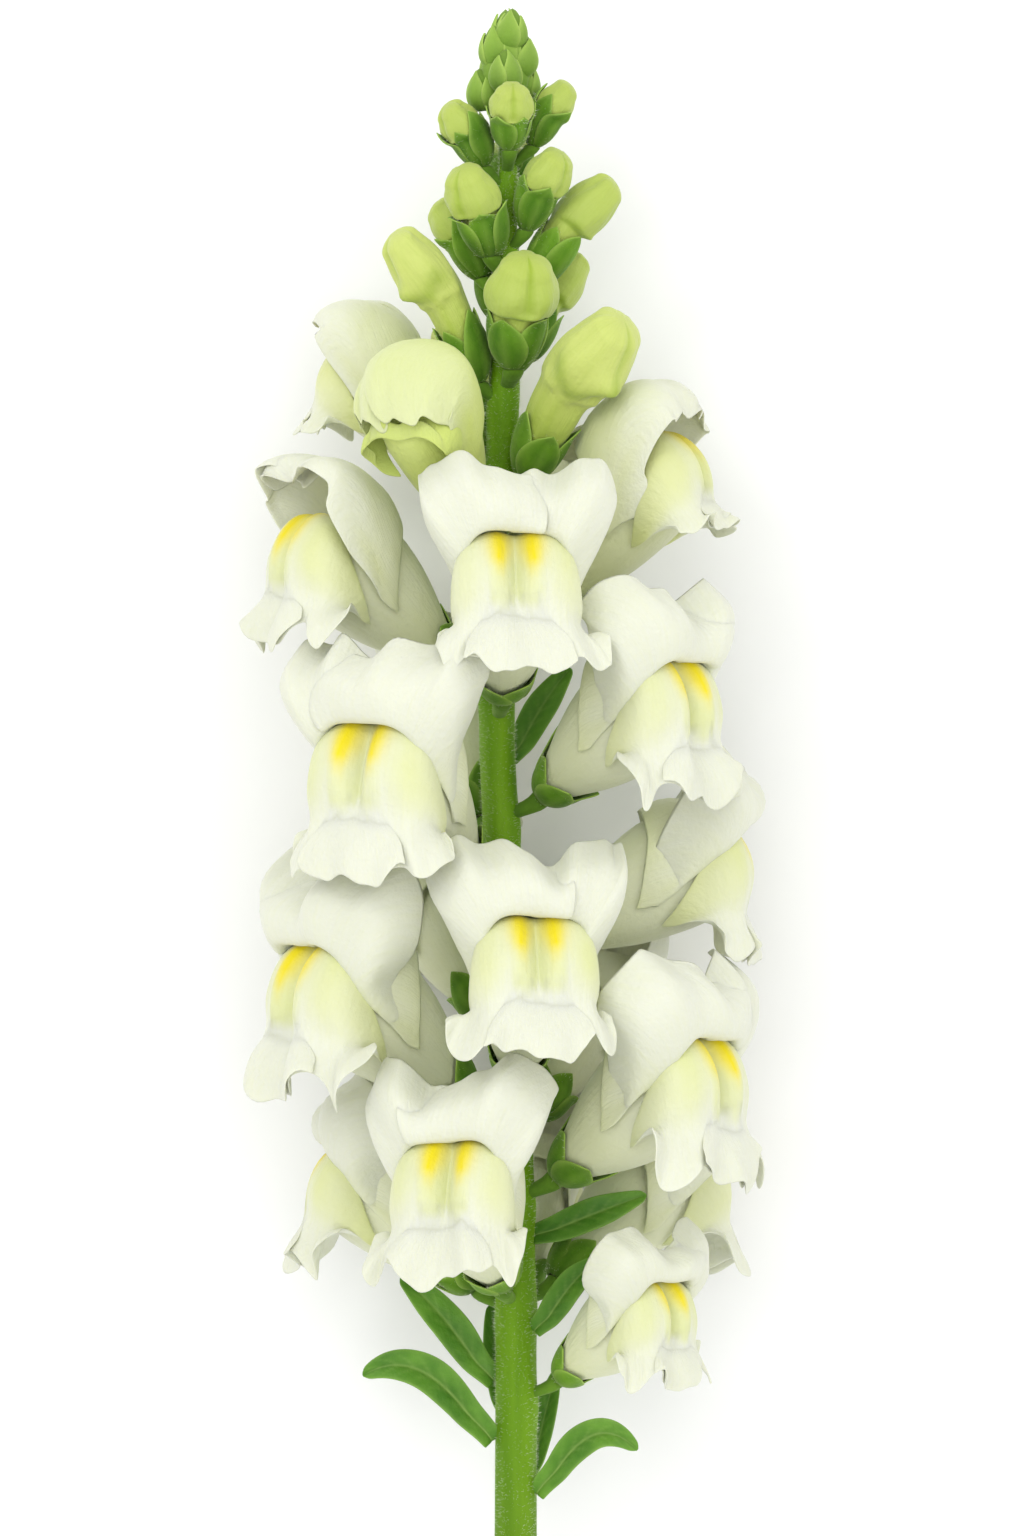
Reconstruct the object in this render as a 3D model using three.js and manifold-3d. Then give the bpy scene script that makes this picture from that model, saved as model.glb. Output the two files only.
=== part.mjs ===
// A cut stem of white snapdragon, lying on a surface with its front side up.
// Millimetres. +X across the stem, +Y along it towards the flowering tip, +Z up. The surface is z = 0.
import * as THREE from "three";
import { mergeVertices } from "three/addons/utils/BufferGeometryUtils.js";
import Module from "manifold-3d";

const wasm = await Module();
wasm.setup();

// ---- Driving dimensions -------------------------------------------------------------------------
const STEM_LIFT = 38.5; // height of the stem's middle line above the surface
const CUT_END_Y = -18; // where the stem was cut
const PETAL = 0.9; // thickness of a petal
const SEPAL = 0.7; // thickness of a sepal
const LEAF = 0.8; // thickness of a leaf
const LEAF_ROWS = 7; // points along a leaf
const SEPAL_LONG = 10; // length of a sepal
const MOST_COVERED = 0.76; // share of a small bud that its sepals reach over
const BLOOM_COVERED = 0.26; // share of an open bloom's tube that its sepals reach over
const GAP = 0.75; // clearance between a corolla and the sepals round it
const CALYX_OUT = 8.5; // how far an open bloom's calyx stands from the stem's middle line
const STALK_SINK = 1.6; // how near to the middle line a flower stalk starts
const FOOT = 0.03; // where the corolla starts above the calyx floor, along the tube
const REST_SINK = 0.25; // how far petals pressed flat on the surface are trimmed
const REST_SOFTNESS = 0.8; // how gently a petal bends where it meets the surface
const SIDES = 8; // sides of a corolla tube
const PLAIN_MESH = [9, 4]; // points across and along a lip
const STEM_SIDES = 8; // sides of the main stem
const BUD_SIDES = 8; // sides of a closed bud
const RUFFLE = 1.5; // wave of a petal's margin
const ROLL = 1.2; // how much higher one side of a lip stands than the other
const UPPER_FROM = 0.14; // where the upper lip leaves the tube, as a share of its length
const HOOD_FROM = 0; // the same for a hooded lip
const LOWER_FROM = 0.26; // where the lower lip shows out of the tube
const ORIGIN_X = 0; // middle of the bounding box, from the stem's own origin
const ORIGIN_Y = 136.4;

const COLOURS = {
  petal: [0xf4f5ee, 0.55],
  opening: [0xe4ebc4, 0.55],
  bud: [0xb9cf5a, 0.6],
  green: [0x5f9a24, 0.6],
  leaf: [0x3d7a26, 0.6],
};

// Middle line of the stem: [y, x, radius]
const STEM = [
  [CUT_END_Y, 1.6, 4.0],
  [18, 1.7, 3.9],
  [45, 1.7, 3.8],
  [92, 0.9, 3.6],
  [150, -1.9, 3.4],
  [188, -1.5, 3.2],
  [217, -0.6, 3.0],
  [245, -0.2, 2.3],
  [258, 0, 1.7],
  [272, -0.2, 1.3],
];

// Open and opening blooms. y: calyx base along the stem; turn: round the stem, 0 to the front, + to +X;
// lift: raises the mouth; yaw: turns the face on; open: 0 shut, 1 fully open;
// hood: 1 where the upper lip isn't folded back yet;
// mesh: points across and along each lip, where it is finer than PLAIN_MESH.
const BLOOMS = {
  a: { y: 201, turn: -118, lift: 4, yaw: 8, size: 0.84, open: 0.7, hood: 1, seed: 1 },
  b: { y: 190.4, turn: -34, lift: 11, yaw: 0, size: 0.86, open: 0.03, seed: 2 },
  c: { y: 175, turn: 99, lift: 10, yaw: -24, size: 1.04, open: 0.6, hood: 1, seed: 3 },
  d: { y: 165, turn: -85, lift: -2, yaw: 20, size: 0.99, open: 0.9, hood: 1, seed: 4 },
  e: { y: 159.2, turn: 7, lift: 0, yaw: -2.7, size: 1.0, open: 1, seed: 14, mesh: [13, 6] },
  f: { y: 125, turn: -48, lift: -6.9, yaw: 17, size: 1.1, open: 1, seed: 6, mesh: [13, 6] },
  g: { y: 140.3, turn: 70.8, lift: -7.4, yaw: -19.9, size: 0.98, open: 1, seed: 25, mesh: [11, 5] },
  h: { y: 111.5, turn: 114.4, lift: -11.8, yaw: -22.6, size: 0.99, open: 0.95, seed: 3 },
  i: { y: 88, turn: 5, lift: 0, yaw: 2, size: 1.0, open: 1, seed: 9, mesh: [13, 6] },
  j: { y: 82.4, turn: -84, lift: -4, yaw: 26, size: 1.08, open: 1, seed: 10 },
  k: { y: 98, turn: -149, lift: 6, yaw: 0, size: 0.92, open: 0.95, seed: 11 },
  l: { y: 68.2, turn: 71, lift: -6.7, yaw: -15.2, size: 1.02, open: 1, seed: 12 },
  m: { y: 48, turn: -21, lift: -2, yaw: 4, size: 0.98, open: 1, seed: 13 },
  n: { y: 46.7, turn: -122, lift: 0, yaw: 33, size: 0.9, open: 1, seed: 5 },
  o: { y: 30, turn: 74, lift: -8, yaw: -24, size: 0.76, open: 0.9, seed: 15 },
  p: { y: 79.4, turn: 149.1, lift: 3.4, yaw: 1.3, size: 0.92, open: 0.95, seed: 16, mesh: [7, 4] },
  q: { y: 48, turn: 117.5, lift: -4, yaw: 0, size: 0.94, open: 1, seed: 17 },
  r: { y: 176, turn: 164, lift: 6, yaw: 0, size: 0.84, open: 0.8, seed: 18, mesh: [7, 4] },
  s: { y: 136, turn: -160, lift: 8, yaw: 0, size: 0.92, open: 0.95, seed: 19, mesh: [7, 4] },
  t: { y: 44.6, turn: 176, lift: 6, yaw: 0, size: 0.88, open: 0.95, seed: 20, mesh: [7, 4] },
};

// Closed buds whose corolla stands out of the calyx. long: calyx base to the top of the head.
const BUDS = {
  a: { y: 263, turn: 6, lift: 20, long: 11.2, head: 3.7, out: 5.2 },
  b: { y: 260, turn: -66, lift: 12, long: 12, head: 3.6, out: 4.8 },
  c: { y: 264, turn: 82, lift: 14, long: 12, head: 3.2, out: 5.0 },
  d: { y: 248, turn: 48, lift: 14, long: 14.5, head: 4.0, out: 5.0 },
  e: { y: 243, turn: -36, lift: 16, long: 16, head: 4.7, out: 4.9 },
  f: { y: 239, turn: -108, lift: 14, long: 15, head: 4.0, out: 4.6 },
  g: { y: 237.6, turn: 88, lift: 8, long: 22.5, head: 4.4, out: 5.4 },
  h: { y: 219, turn: -67, lift: 14, long: 30, head: 4.8, out: 5.4 },
  i: { y: 221.5, turn: 16, lift: 22, long: 19.5, head: 6.1, out: 6.6 },
  j: { y: 223.6, turn: 130, lift: 12, long: 22, head: 4.2, out: 4.8 },
  k: { y: 201, turn: 47, lift: 5, long: 34.4, head: 6.5, out: 6.4 },
  l: { y: 254, turn: 172, lift: 14, long: 14, head: 3.5, out: 3.6 },
  m: { y: 231, turn: -168, lift: 12, long: 20, head: 4.1, out: 4.4 },
  n: { y: 204, turn: -158, lift: 10, long: 30, head: 5.6, out: 6.0 },
};

// Leaves: root and tip round the stem, as [y, x, z] from the middle line; arch: height of the bend.
const LEAVES = {
  low_left: { root: [18, -5.8, 1], tip: [31, -29, 8], arch: [14, 5], wide: 7.4 },
  upper_left: { root: [29, -5.2, -2], tip: [49, -22, -3], arch: [4, 3], wide: 7.2 },
  back_left: { root: [22, -2.5, -4.3], tip: [43, -5, -13], arch: [2, -3], wide: 5 },
  low_right: { root: [8, 5.2, 2], tip: [17, 23, 9], arch: [14, 5], wide: 6.4 },
  back_right: { root: [10, 2.8, -4.2], tip: [31, 8, -12], arch: [2, -3], wide: 4.6 },
  mid_right: { root: [39, 4.6, 3.0], tip: [53, 15.5, 9], arch: [3, 2], wide: 6.0 },
  bract_right: { root: [57, 4.7, 0.5], tip: [65, 25, 3.5], arch: [0.5, 2], wide: 6.4 },
  behind_right: { root: [147, 2.8, -3.8], tip: [165, 14, -10], arch: [3, -2], wide: 6.2 },
};

// ---- Small mathematics --------------------------------------------------------------------------
const rad = THREE.MathUtils.degToRad;
const mix = (a, b, t) => a.map((v, k) => v + (b[k] - v) * t);
const smooth = (t) => THREE.MathUtils.smoothstep(t, 0, 1);

// Catmull-Rom through evenly spaced points at t = 0..1, in any number of dimensions.
function through(points, t) {
  const last = points.length - 1;
  const at = THREE.MathUtils.clamp(t, 0, 1) * last;
  const i = Math.min(Math.floor(at), last - 1);
  const f = at - i;
  const p = (k) => {
    if (k < 0) return mix(points[1], points[0], 2);
    if (k > last) return mix(points[last - 1], points[last], 2);
    return points[k];
  };
  const [a, b, c, d] = [p(i - 1), p(i), p(i + 1), p(i + 2)];
  return b.map((v, k) => {
    const slope = (c[k] - a[k]) / 2;
    const next = (d[k] - v) / 2;
    const bend = 3 * (c[k] - v) - 2 * slope - next;
    const twist = 2 * (v - c[k]) + slope + next;
    return v + f * (slope + f * (bend + f * twist));
  });
}

// The stem's middle line at height y: [x, radius]
function stemAt(y) {
  const above = STEM.findIndex((row) => row[0] >= y);
  const k = above < 0 ? STEM.length - 1 : Math.max(1, above);
  const [a, b] = [STEM[k - 1], STEM[k]];
  const t = THREE.MathUtils.clamp((y - a[0]) / (b[0] - a[0]), 0, 1);
  return mix(a, b, t).slice(1);
}

// ---- Closed meshes ------------------------------------------------------------------------------
function solid(positions, triangles) {
  const geometry = new THREE.BufferGeometry();
  geometry.setAttribute("position", new THREE.Float32BufferAttribute(positions.flat(), 3));
  geometry.setIndex(triangles.flat());
  const merged = mergeVertices(geometry, 1e-4);
  const made = new wasm.Manifold(
    new wasm.Mesh({
      numProp: 3,
      vertProperties: merged.attributes.position.array,
      triVerts: new Uint32Array(merged.index.array),
    }),
  );
  if (made.volume() > 0) return made;
  return solid(positions, triangles.map(([a, b, c]) => [a, c, b]));
}

// A sheet of even thickness on a grid of points, grid[i][j], both faces split alike.
function sheet(grid, thickness) {
  const rows = grid.length;
  const columns = grid[0].length;
  const point = (i, j) => new THREE.Vector3(...grid[i][j]);
  const clamp = (k, n) => THREE.MathUtils.clamp(k, 0, n - 1);
  const faces = [[], []];
  for (let i = 0; i < rows; i++) {
    for (let j = 0; j < columns; j++) {
      const du = point(clamp(i + 1, rows), j).sub(point(clamp(i - 1, rows), j));
      const dv = point(i, clamp(j + 1, columns)).sub(point(i, clamp(j - 1, columns)));
      const normal = du.cross(dv).normalize().multiplyScalar(thickness / 2);
      faces[0].push(point(i, j).add(normal).toArray());
      faces[1].push(point(i, j).sub(normal).toArray());
    }
  }
  const size = rows * columns;
  const at = (i, j) => i * columns + j;
  const triangles = [];
  const rim = [];
  for (let i = 0; i + 1 < rows; i++) {
    for (let j = 0; j + 1 < columns; j++) {
      const [a, b, c, d] = [at(i, j), at(i + 1, j), at(i + 1, j + 1), at(i, j + 1)];
      triangles.push([a, b, c], [a, c, d], [size + a, size + c, size + b], [size + a, size + d, size + c]);
    }
  }
  for (let i = 0; i + 1 < rows; i++) rim.push([at(i, 0), at(i + 1, 0)]);
  for (let j = 0; j + 1 < columns; j++) rim.push([at(rows - 1, j), at(rows - 1, j + 1)]);
  for (let i = rows - 1; i > 0; i--) rim.push([at(i, columns - 1), at(i - 1, columns - 1)]);
  for (let j = columns - 1; j > 0; j--) rim.push([at(0, j), at(0, j - 1)]);
  rim.forEach(([a, b]) => triangles.push([b, a, size + a], [b, size + a, size + b]));
  return solid(faces.flat(), triangles);
}

// A closed skin over rings of points, with a pole at each end.
function skin(rings, startPole, endPole) {
  const count = rings[0].length;
  const positions = [...rings.flat(), startPole, endPole];
  const [start, end] = [positions.length - 2, positions.length - 1];
  const triangles = [];
  for (let k = 0; k < count; k++) {
    const next = (k + 1) % count;
    for (let r = 0; r + 1 < rings.length; r++) {
      const [a, b] = [r * count + k, r * count + next];
      triangles.push([a, b, b + count], [a, b + count, a + count]);
    }
    const top = (rings.length - 1) * count;
    triangles.push([start, next, k], [end, top + k, top + next]);
  }
  return solid(positions, triangles);
}

// Joins solids, fills what the joining sealed and drops loose scraps.
function fuse(parts) {
  const bodies = wasm.Manifold.union(parts).decompose();
  return bodies.reduce((best, body) => (body.volume() > best.volume() ? body : best));
}

function meshOf(body, name, look) {
  const mesh = body.getMesh();
  const geometry = new THREE.BufferGeometry();
  geometry.setAttribute("position", new THREE.BufferAttribute(mesh.vertProperties.slice(), 3));
  geometry.setIndex(new THREE.BufferAttribute(mesh.triVerts.slice(), 1));
  geometry.computeVertexNormals();
  const [color, roughness] = COLOURS[look];
  const made = new THREE.Mesh(geometry, new THREE.MeshStandardMaterial({ color, roughness, metalness: 0 }));
  made.name = name;
  return made;
}

// Everything under the surface, as a block.
function underSurface() {
  const block = new THREE.BoxGeometry(400, 700, 60).translate(0, 150, -30);
  const corners = block.attributes.position;
  const points = Array.from({ length: corners.count }, (_, k) =>
    new THREE.Vector3().fromBufferAttribute(corners, k).toArray(),
  );
  return solid(points, [Array.from(block.index.array)]);
}
const UNDER = underSurface();

// ---- Placing a flower on the stem ---------------------------------------------------------------
// A flower's own frame: x across, y towards the stem's tip, z away from the stem, origin at its calyx base.
function placement({ y, turn, lift = 0, yaw = 0, size = 1, out = CALYX_OUT }) {
  const around = rad(turn);
  const base = new THREE.Vector3(
    stemAt(y)[0] + Math.sin(around) * out,
    y,
    STEM_LIFT + Math.cos(around) * out,
  );
  return new THREE.Matrix4()
    .makeTranslation(base)
    .multiply(new THREE.Matrix4().makeRotationY(around + rad(yaw)))
    .multiply(new THREE.Matrix4().makeRotationX(-rad(lift)))
    .multiply(new THREE.Matrix4().makeScale(size, size, size));
}

function placer(spec) {
  const matrix = placement(spec);
  return (p) => new THREE.Vector3(...p).applyMatrix4(matrix).toArray();
}

// Petals that would pass through the surface bend along it instead.
function settle([x, y, z]) {
  const lowest = PETAL / 2 - REST_SINK;
  const over = z - lowest;
  return [x, y, lowest + (over + Math.hypot(over, REST_SOFTNESS)) / 2];
}

// ---- The corolla --------------------------------------------------------------------------------
// Side profile of the tube from calyx to mouth: [back z, back y, belly z, belly y, half width]
const TUBE = [
  [-1.5, 1.8, 1.7, -1.2, 2.3],
  [1.0, 7.6, 6.2, 0.6, 4.4],
  [3.8, 14.6, 12.0, 2.2, 6.6],
  [7.4, 21.6, 18.0, 4.2, 8.4],
  [14.0, 29.4, 24.0, 7.4, 9.6],
  [21.0, 30.6, 29.0, 10.6, 9.6],
  [28.0, 27.6, 32.6, 14.0, 7.6],
];
const TUBE_FRONT = [0, 21.5, 33.3];

// A point on the tube: s from the calyx to the mouth, angle from the back, pushed out by grow.
function tubeAt(profile, s, angle, grow = 0) {
  const [bz, by, vz, vy, half] = through(profile, s);
  const length = Math.hypot(bz - vz, by - vy) / 2;
  const stretch = (length + grow) / length;
  const across = Math.cos(angle) * stretch;
  return [
    (half + grow) * Math.sin(angle),
    (by + vy) / 2 + ((by - vy) / 2) * across,
    (bz + vz) / 2 + ((bz - vz) / 2) * across,
  ];
}

// Upper lip, right half, from the middle outwards. Each station runs from the tube to the petal's margin.
const UPPER_OPEN = [
  [[0, 20, 7], [0, 32, 13.5], [0, 33, 23.6], [0, 30.2, 31], [0, 36.4, 32.6], [0, 42, 26.4]],
  [[5, 18.5, 7.6], [5.5, 31.4, 14.4], [6, 32, 25], [6, 30.4, 32.2], [7.2, 38.6, 32.4], [8, 44.4, 24.4]],
  [[7.6, 15.6, 9.2], [9.2, 27, 16], [9.8, 28.2, 25], [8.9, 28.1, 31], [14.6, 38.6, 30.4], [15.8, 44.6, 21]],
  [[8.6, 12.6, 10.6], [9.8, 20.4, 16.2], [9.3, 21.7, 23.6],
    [9.7, 24, 28.8], [17.2, 32.2, 27.6], [17.8, 37, 18.2]],
  [[8.8, 10.8, 11.4], [9.4, 15.2, 16.2], [9.8, 17.2, 20.8],
    [10.4, 19.2, 24.6], [11.6, 21.6, 23.2], [8.4, 21.4, 16.8]],
  [[8.2, 9.4, 11.6], [8.8, 11.2, 15.6], [9.0, 12, 17.2],
    [8.8, 12.4, 17.6], [7.8, 12.8, 16.6], [6.6, 12.4, 14.6]],
];
// A younger upper lip, stood up as a hood with its margin forward.
const UPPER_HOOD = [
  [[0, 18.2, 8.4], [0, 32, 12.5], [0, 38.5, 18.5], [0, 40.5, 24], [0, 40, 28.5], [0, 38, 31.5]],
  [[4.2, 16.8, 9], [5.6, 31, 13.4], [6.2, 38.4, 19.4], [6.6, 42, 25], [6.8, 42.6, 30], [6.8, 41, 33.4]],
  [[6.2, 14.4, 10.2], [9.6, 27, 15.4], [11, 34.6, 20.6],
    [12, 38.8, 25.6], [12.6, 40, 30.4], [12.8, 38.6, 33.4]],
  [[6.8, 12, 11.4], [10.8, 21, 16.6], [12.8, 27.6, 21.4],
    [14, 31.4, 25.4], [14.8, 33, 28.8], [14.8, 32.2, 31.2]],
  [[6.8, 10.6, 12], [9.8, 15.4, 16.6], [11.2, 19.6, 20.4],
    [12.2, 22.4, 23], [12.6, 24, 25], [12.6, 24.6, 26.6]],
  [[6.4, 9.6, 12.2], [8.8, 11, 15.8], [9.4, 12.4, 18], [9.8, 13.4, 19.4], [10, 14.2, 20.4], [10.2, 15, 21.2]],
];
const UPPER_SHUT = [
  [[0, 20, 7], [0, 32, 14.5], [0, 37.5, 26], [0, 33.5, 34], [0, 25.5, 37.2], [0, 18, 36]],
  [[5, 18.5, 7.6], [5.6, 31, 15.5], [6.2, 36.6, 25.6], [6.4, 32.6, 33.6], [5.8, 25, 36.8], [5, 17.4, 36.2]],
  [[7.6, 15.6, 9.2], [10, 26.6, 17.4], [11, 32.6, 24.6],
    [11.6, 30.6, 30.8], [10.8, 25, 34.4], [9.6, 18.4, 34.6]],
  [[8.6, 12.6, 10.6], [11, 21.4, 17.8], [12.4, 26.4, 23],
    [13, 26.6, 27.6], [13, 23.8, 30.8], [12.2, 19.4, 31.8]],
  [[8.8, 10.8, 11.4], [10.2, 16, 17], [11.2, 19, 21.6],
    [12, 19.8, 24.8], [12.4, 19.2, 27.2], [12.4, 17.4, 28.6]],
  [[8.2, 9.4, 11.6], [8.9, 11.6, 16.6], [9.6, 13, 19.8],
    [10.4, 13.8, 22.4], [11, 14, 24.4], [11.2, 13.8, 26]],
];

// Palate and lower lip, right half: groove, hump, middle lobe's edge, side lobe, its tip, its back edge.
const LOWER_OPEN = [
  [[0, 27.6, 22.5], [0, 28.8, 28.4], [0, 22.2, 32.8], [0, 15.8, 34.4], [0, 10.4, 36.8], [0, 5.4, 37.6]],
  [[2.8, 28.6, 23], [3.4, 30.4, 29.8], [4.2, 23.6, 35], [4.2, 16, 36], [4.8, 10.4, 38], [5.4, 5.6, 38.6]],
  [[5.4, 27.2, 23], [8.3, 28.7, 30], [9, 21.8, 34.2], [8.4, 15, 34.8], [9, 11, 37], [9.6, 8.2, 37.8]],
  [[8, 22, 22.5], [11, 23.6, 28.6], [11.6, 18, 31.4], [10.8, 13.4, 32.4], [12.2, 8.4, 35], [13.4, 3.8, 36]],
  [[9, 14, 21], [10.4, 13.8, 24.2], [11.4, 13.6, 27.2], [11.4, 12.8, 30], [13.8, 10.4, 32.6], [16, 7, 33.8]],
  [[5.6, 8.4, 19], [7.4, 8.8, 21], [9.2, 9.6, 23], [11, 11.4, 25.2], [13.4, 13, 28], [15.8, 12.4, 29.6]],
];
const LOWER_SHUT = [
  [[0, 26.4, 23], [0, 25.4, 28], [0, 20.5, 30.8], [0, 15.6, 31.4], [0, 14, 32.4], [0, 17.8, 33.4]],
  [[3, 27.2, 23], [3.3, 26.4, 28.4], [3.6, 21, 31.6], [3.7, 15.6, 32], [3.9, 14, 33], [3.6, 17.8, 33.6]],
  [[6.4, 25.2, 23], [7, 24, 27.8], [7.4, 19, 30.8], [7.6, 14.6, 31.4], [8, 13.4, 32], [7.6, 17, 32.4]],
  [[8.8, 20, 22.5], [10, 19, 26], [10.4, 15.4, 28.6],
    [10.4, 12.4, 29.8], [10.4, 12, 30.4], [9.8, 15.4, 30.6]],
  [[9, 14, 21], [10.4, 13.2, 23.6], [10.8, 11.8, 26],
    [10.8, 10.6, 27.4], [10.8, 11, 28.2], [10.4, 13.4, 28.6]],
  [[5.6, 8.4, 19], [7.4, 8, 21], [8.8, 8, 23], [9.6, 8.6, 24.6], [10, 9.8, 25.8], [10, 11.6, 26.6]],
];

// A point of a lip: u from -1 (left) to 1 (right), v from the tube to the margin.
function lipAt(shut, opened, { open, seed }, u, v) {
  const blend = (station, i) => station.map((p, j) => mix(shut[i][j], p, open));
  const stations = opened.map((station, i) => through(blend(station, i), v));
  const mirrored = stations.slice(1).reverse().map(([x, y, z]) => [-x, y, z]);
  const [x, y, z] = through([...mirrored, ...stations], (u + 1) / 2);
  const wave = RUFFLE * smooth((v - 0.35) / 0.65) * (0.4 + 0.6 * open);
  const turn = seed * 2.4 + u * 9.5;
  const side = 1.03 + 0.13 * Math.sin(seed * 1.7 + (u > 0 ? 2.1 : 0)) * Math.abs(u) * v;
  const roll = ROLL * Math.sin(seed * 3.1) * u * v;
  return [
    x * side,
    y + roll + wave * 0.8 * Math.sin(turn),
    z + wave * Math.cos(turn * 1.3 + seed),
  ];
}

function spread(count, from, to) {
  return Array.from({ length: count }, (_, k) => from + ((to - from) * k) / (count - 1));
}

function lip(spec, shut, opened, across, along, start, place) {
  const us = spread(across, -1, 1);
  const vs = spread(along, start, 1);
  return sheet(
    us.map((u) => vs.map((v) => place(lipAt(shut, opened, spec, u, v)))),
    PETAL,
  );
}

function tube(profile, count, ringCount, endPole, place, from = 0) {
  const angles = spread(count + 1, 0, 2 * Math.PI).slice(0, count);
  const rings = spread(ringCount, from, 1).map((s) => angles.map((angle) => place(tubeAt(profile, s, angle))));
  const [bz, by, vz, vy] = through(profile, from);
  return skin(rings, place([0, (by + vy) / 2, (bz + vz) / 2]), place(endPole));
}

function bloom(spec) {
  const rise = placer(spec);
  const place = (p) => settle(rise(p));
  const [across, along] = spec.mesh ?? PLAIN_MESH;
  const corolla = fuse([
    tube(TUBE, SIDES, 4, TUBE_FRONT, place, FOOT),
    spec.hood
      ? lip(spec, UPPER_SHUT, UPPER_HOOD, across, along, HOOD_FROM, place)
      : lip(spec, UPPER_SHUT, UPPER_OPEN, across, along, UPPER_FROM, place),
    lip(spec, LOWER_SHUT, LOWER_OPEN, across, along, LOWER_FROM, place),
  ]);
  return fuse([corolla.subtract(UNDER)]);
}

// ---- Buds ---------------------------------------------------------------------------------------
// Form of a bud: [place along it, radius to the back, radius to the belly], as shares of its size.
const BUD_FORM = [
  [0, 0.38, 0.38],
  [0.2, 0.64, 0.62],
  [0.4, 0.8, 0.76],
  [0.55, 0.9, 0.78],
  [0.63, 1.0, 1.02],
  [0.82, 1.04, 1.1],
  [1, 0.78, 0.8],
];

// Side profile of a bud: a slim tube that widens into a hooded head, nodding outwards.
function budProfile({ long, head }) {
  return BUD_FORM.map(([t, backShare, bellyShare]) => {
    const [z, y] = [t * long * (0.5 + 0.22 * t), t * long * (0.86 - 0.14 * t)];
    const [back, belly] = [backShare * head, bellyShare * head];
    const tilt = rad(58 - 26 * t);
    const [sin, cos] = [Math.sin(tilt), Math.cos(tilt)];
    return [z - sin * back, y + cos * back, z + sin * belly, y - cos * belly, (back + belly) / 2];
  });
}

function bud(spec) {
  const profile = budProfile(spec);
  const [bz, by, vz, vy, radius] = profile.at(-1);
  const pole = [0, (by + vy) / 2 + radius * 0.4, (bz + vz) / 2 + radius * 0.5];
  return tube(profile, BUD_SIDES, profile.length, pole, placer(spec), FOOT * 1.5);
}

// ---- Calyx and stalk ----------------------------------------------------------------------------
function middleOf(points) {
  const sum = points.reduce((total, p) => total.add(new THREE.Vector3(...p)), new THREE.Vector3());
  return sum.divideScalar(points.length);
}

// A copy of a ring of points, shrunk and moved.
function ringAt(points, middle, size) {
  const from = middleOf(points);
  return points.map((p) => new THREE.Vector3(...p).sub(from).multiplyScalar(size).add(middle).toArray());
}

// Five sepals round the foot of a corolla, on a stalk that starts inside the stem. Its rings of points, in
// order: stalk root, neck, foot, outer wall, tips, inner wall, cup. The walls have ten points, the rest five.
function calyx(profile, spec, reach) {
  const place = placer(spec);
  const turns = (count) => spread(count + 1, 0, 2 * Math.PI).slice(0, count);
  const wall = (s, grow, count) => turns(count).map((angle) => place(tubeAt(profile, s, angle, grow)));
  const outer = GAP + SEPAL;
  const belly = reach * 0.64;
  const foot = wall(0, outer + 0.35, 5);
  const cup = wall(0, GAP + 0.3, 5);

  const around = rad(spec.turn);
  const outward = new THREE.Vector3(Math.sin(around), 0, Math.cos(around));
  const down = (drop) => new THREE.Vector3(0, -drop, 0);
  const neck = middleOf(foot).addScaledVector(outward, -1.1).add(down(1.5));
  const inset = STALK_SINK - (spec.out ?? CALYX_OUT);
  const root = neck.clone().addScaledVector(outward, inset).add(down(2.4));

  const [R, N, F, B, T, I, C] = [0, 5, 10, 15, 25, 30, 40];
  const [rootPole, cupPole] = [45, 46];
  const positions = [
    ...ringAt(foot, root, 0.38),
    ...ringAt(foot, neck, 0.62),
    ...foot,
    ...wall(belly, outer, 10),
    ...wall(reach, outer + 0.15, 5),
    ...wall(belly, GAP, 10),
    ...cup,
    root.toArray(),
    middleOf(cup).toArray(),
  ];

  const triangles = [];
  for (let k = 0; k < 5; k++) {
    const n = (k + 1) % 5;
    const [b0, b1, b2] = [2 * k, 2 * k + 1, (2 * k + 2) % 10];
    const before = (2 * k + 9) % 10;
    triangles.push([rootPole, R + n, R + k]);
    triangles.push([R + k, R + n, N + n], [R + k, N + n, N + k]);
    triangles.push([N + k, N + n, F + n], [N + k, F + n, F + k]);
    triangles.push([F + k, B + b1, B + b0], [F + k, F + n, B + b1], [F + n, B + b2, B + b1]);
    triangles.push([B + before, B + b0, T + k], [B + b0, B + b1, T + k]);
    triangles.push([I + b0, I + before, T + k], [I + b1, I + b0, T + k]);
    triangles.push([B + b1, I + b1, T + k], [I + b1, B + b1, T + n]);
    triangles.push([C + k, I + b0, I + b1], [C + k, I + b1, C + n], [C + n, I + b1, I + b2]);
    triangles.push([cupPole, C + k, C + n]);
  }
  return solid(positions, triangles);
}

// ---- Stem, bracts, tip and leaves ---------------------------------------------------------------
const ring = (x, y, z, radius, count) =>
  spread(count + 1, 0, 2 * Math.PI).slice(0, count).map((a) => [x + Math.sin(a) * radius, y, z + Math.cos(a) * radius]);

function stem() {
  const rings = STEM.map(([y, x, radius]) => ring(x, y, STEM_LIFT, radius, STEM_SIDES));
  const [y0, x0] = STEM[0];
  const [y1, x1] = STEM.at(-1);
  return skin(rings, [x0, y0, STEM_LIFT], [x1, y1 + 1, STEM_LIFT]);
}

// A small pointed bud, all green: rings of [height, radius] as shares of its length and width.
function tipBud([x, y, z], length, radius, lean, sides, profile) {
  const rings = profile.map(([t, r]) =>
    ring(x + lean[0] * t, y + length * t, STEM_LIFT + z + lean[1] * t, radius * r, sides),
  );
  return skin(rings, [x, y - 0.5, STEM_LIFT + z], [x + lean[0], y + length, STEM_LIFT + z + lean[1]]);
}

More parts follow.
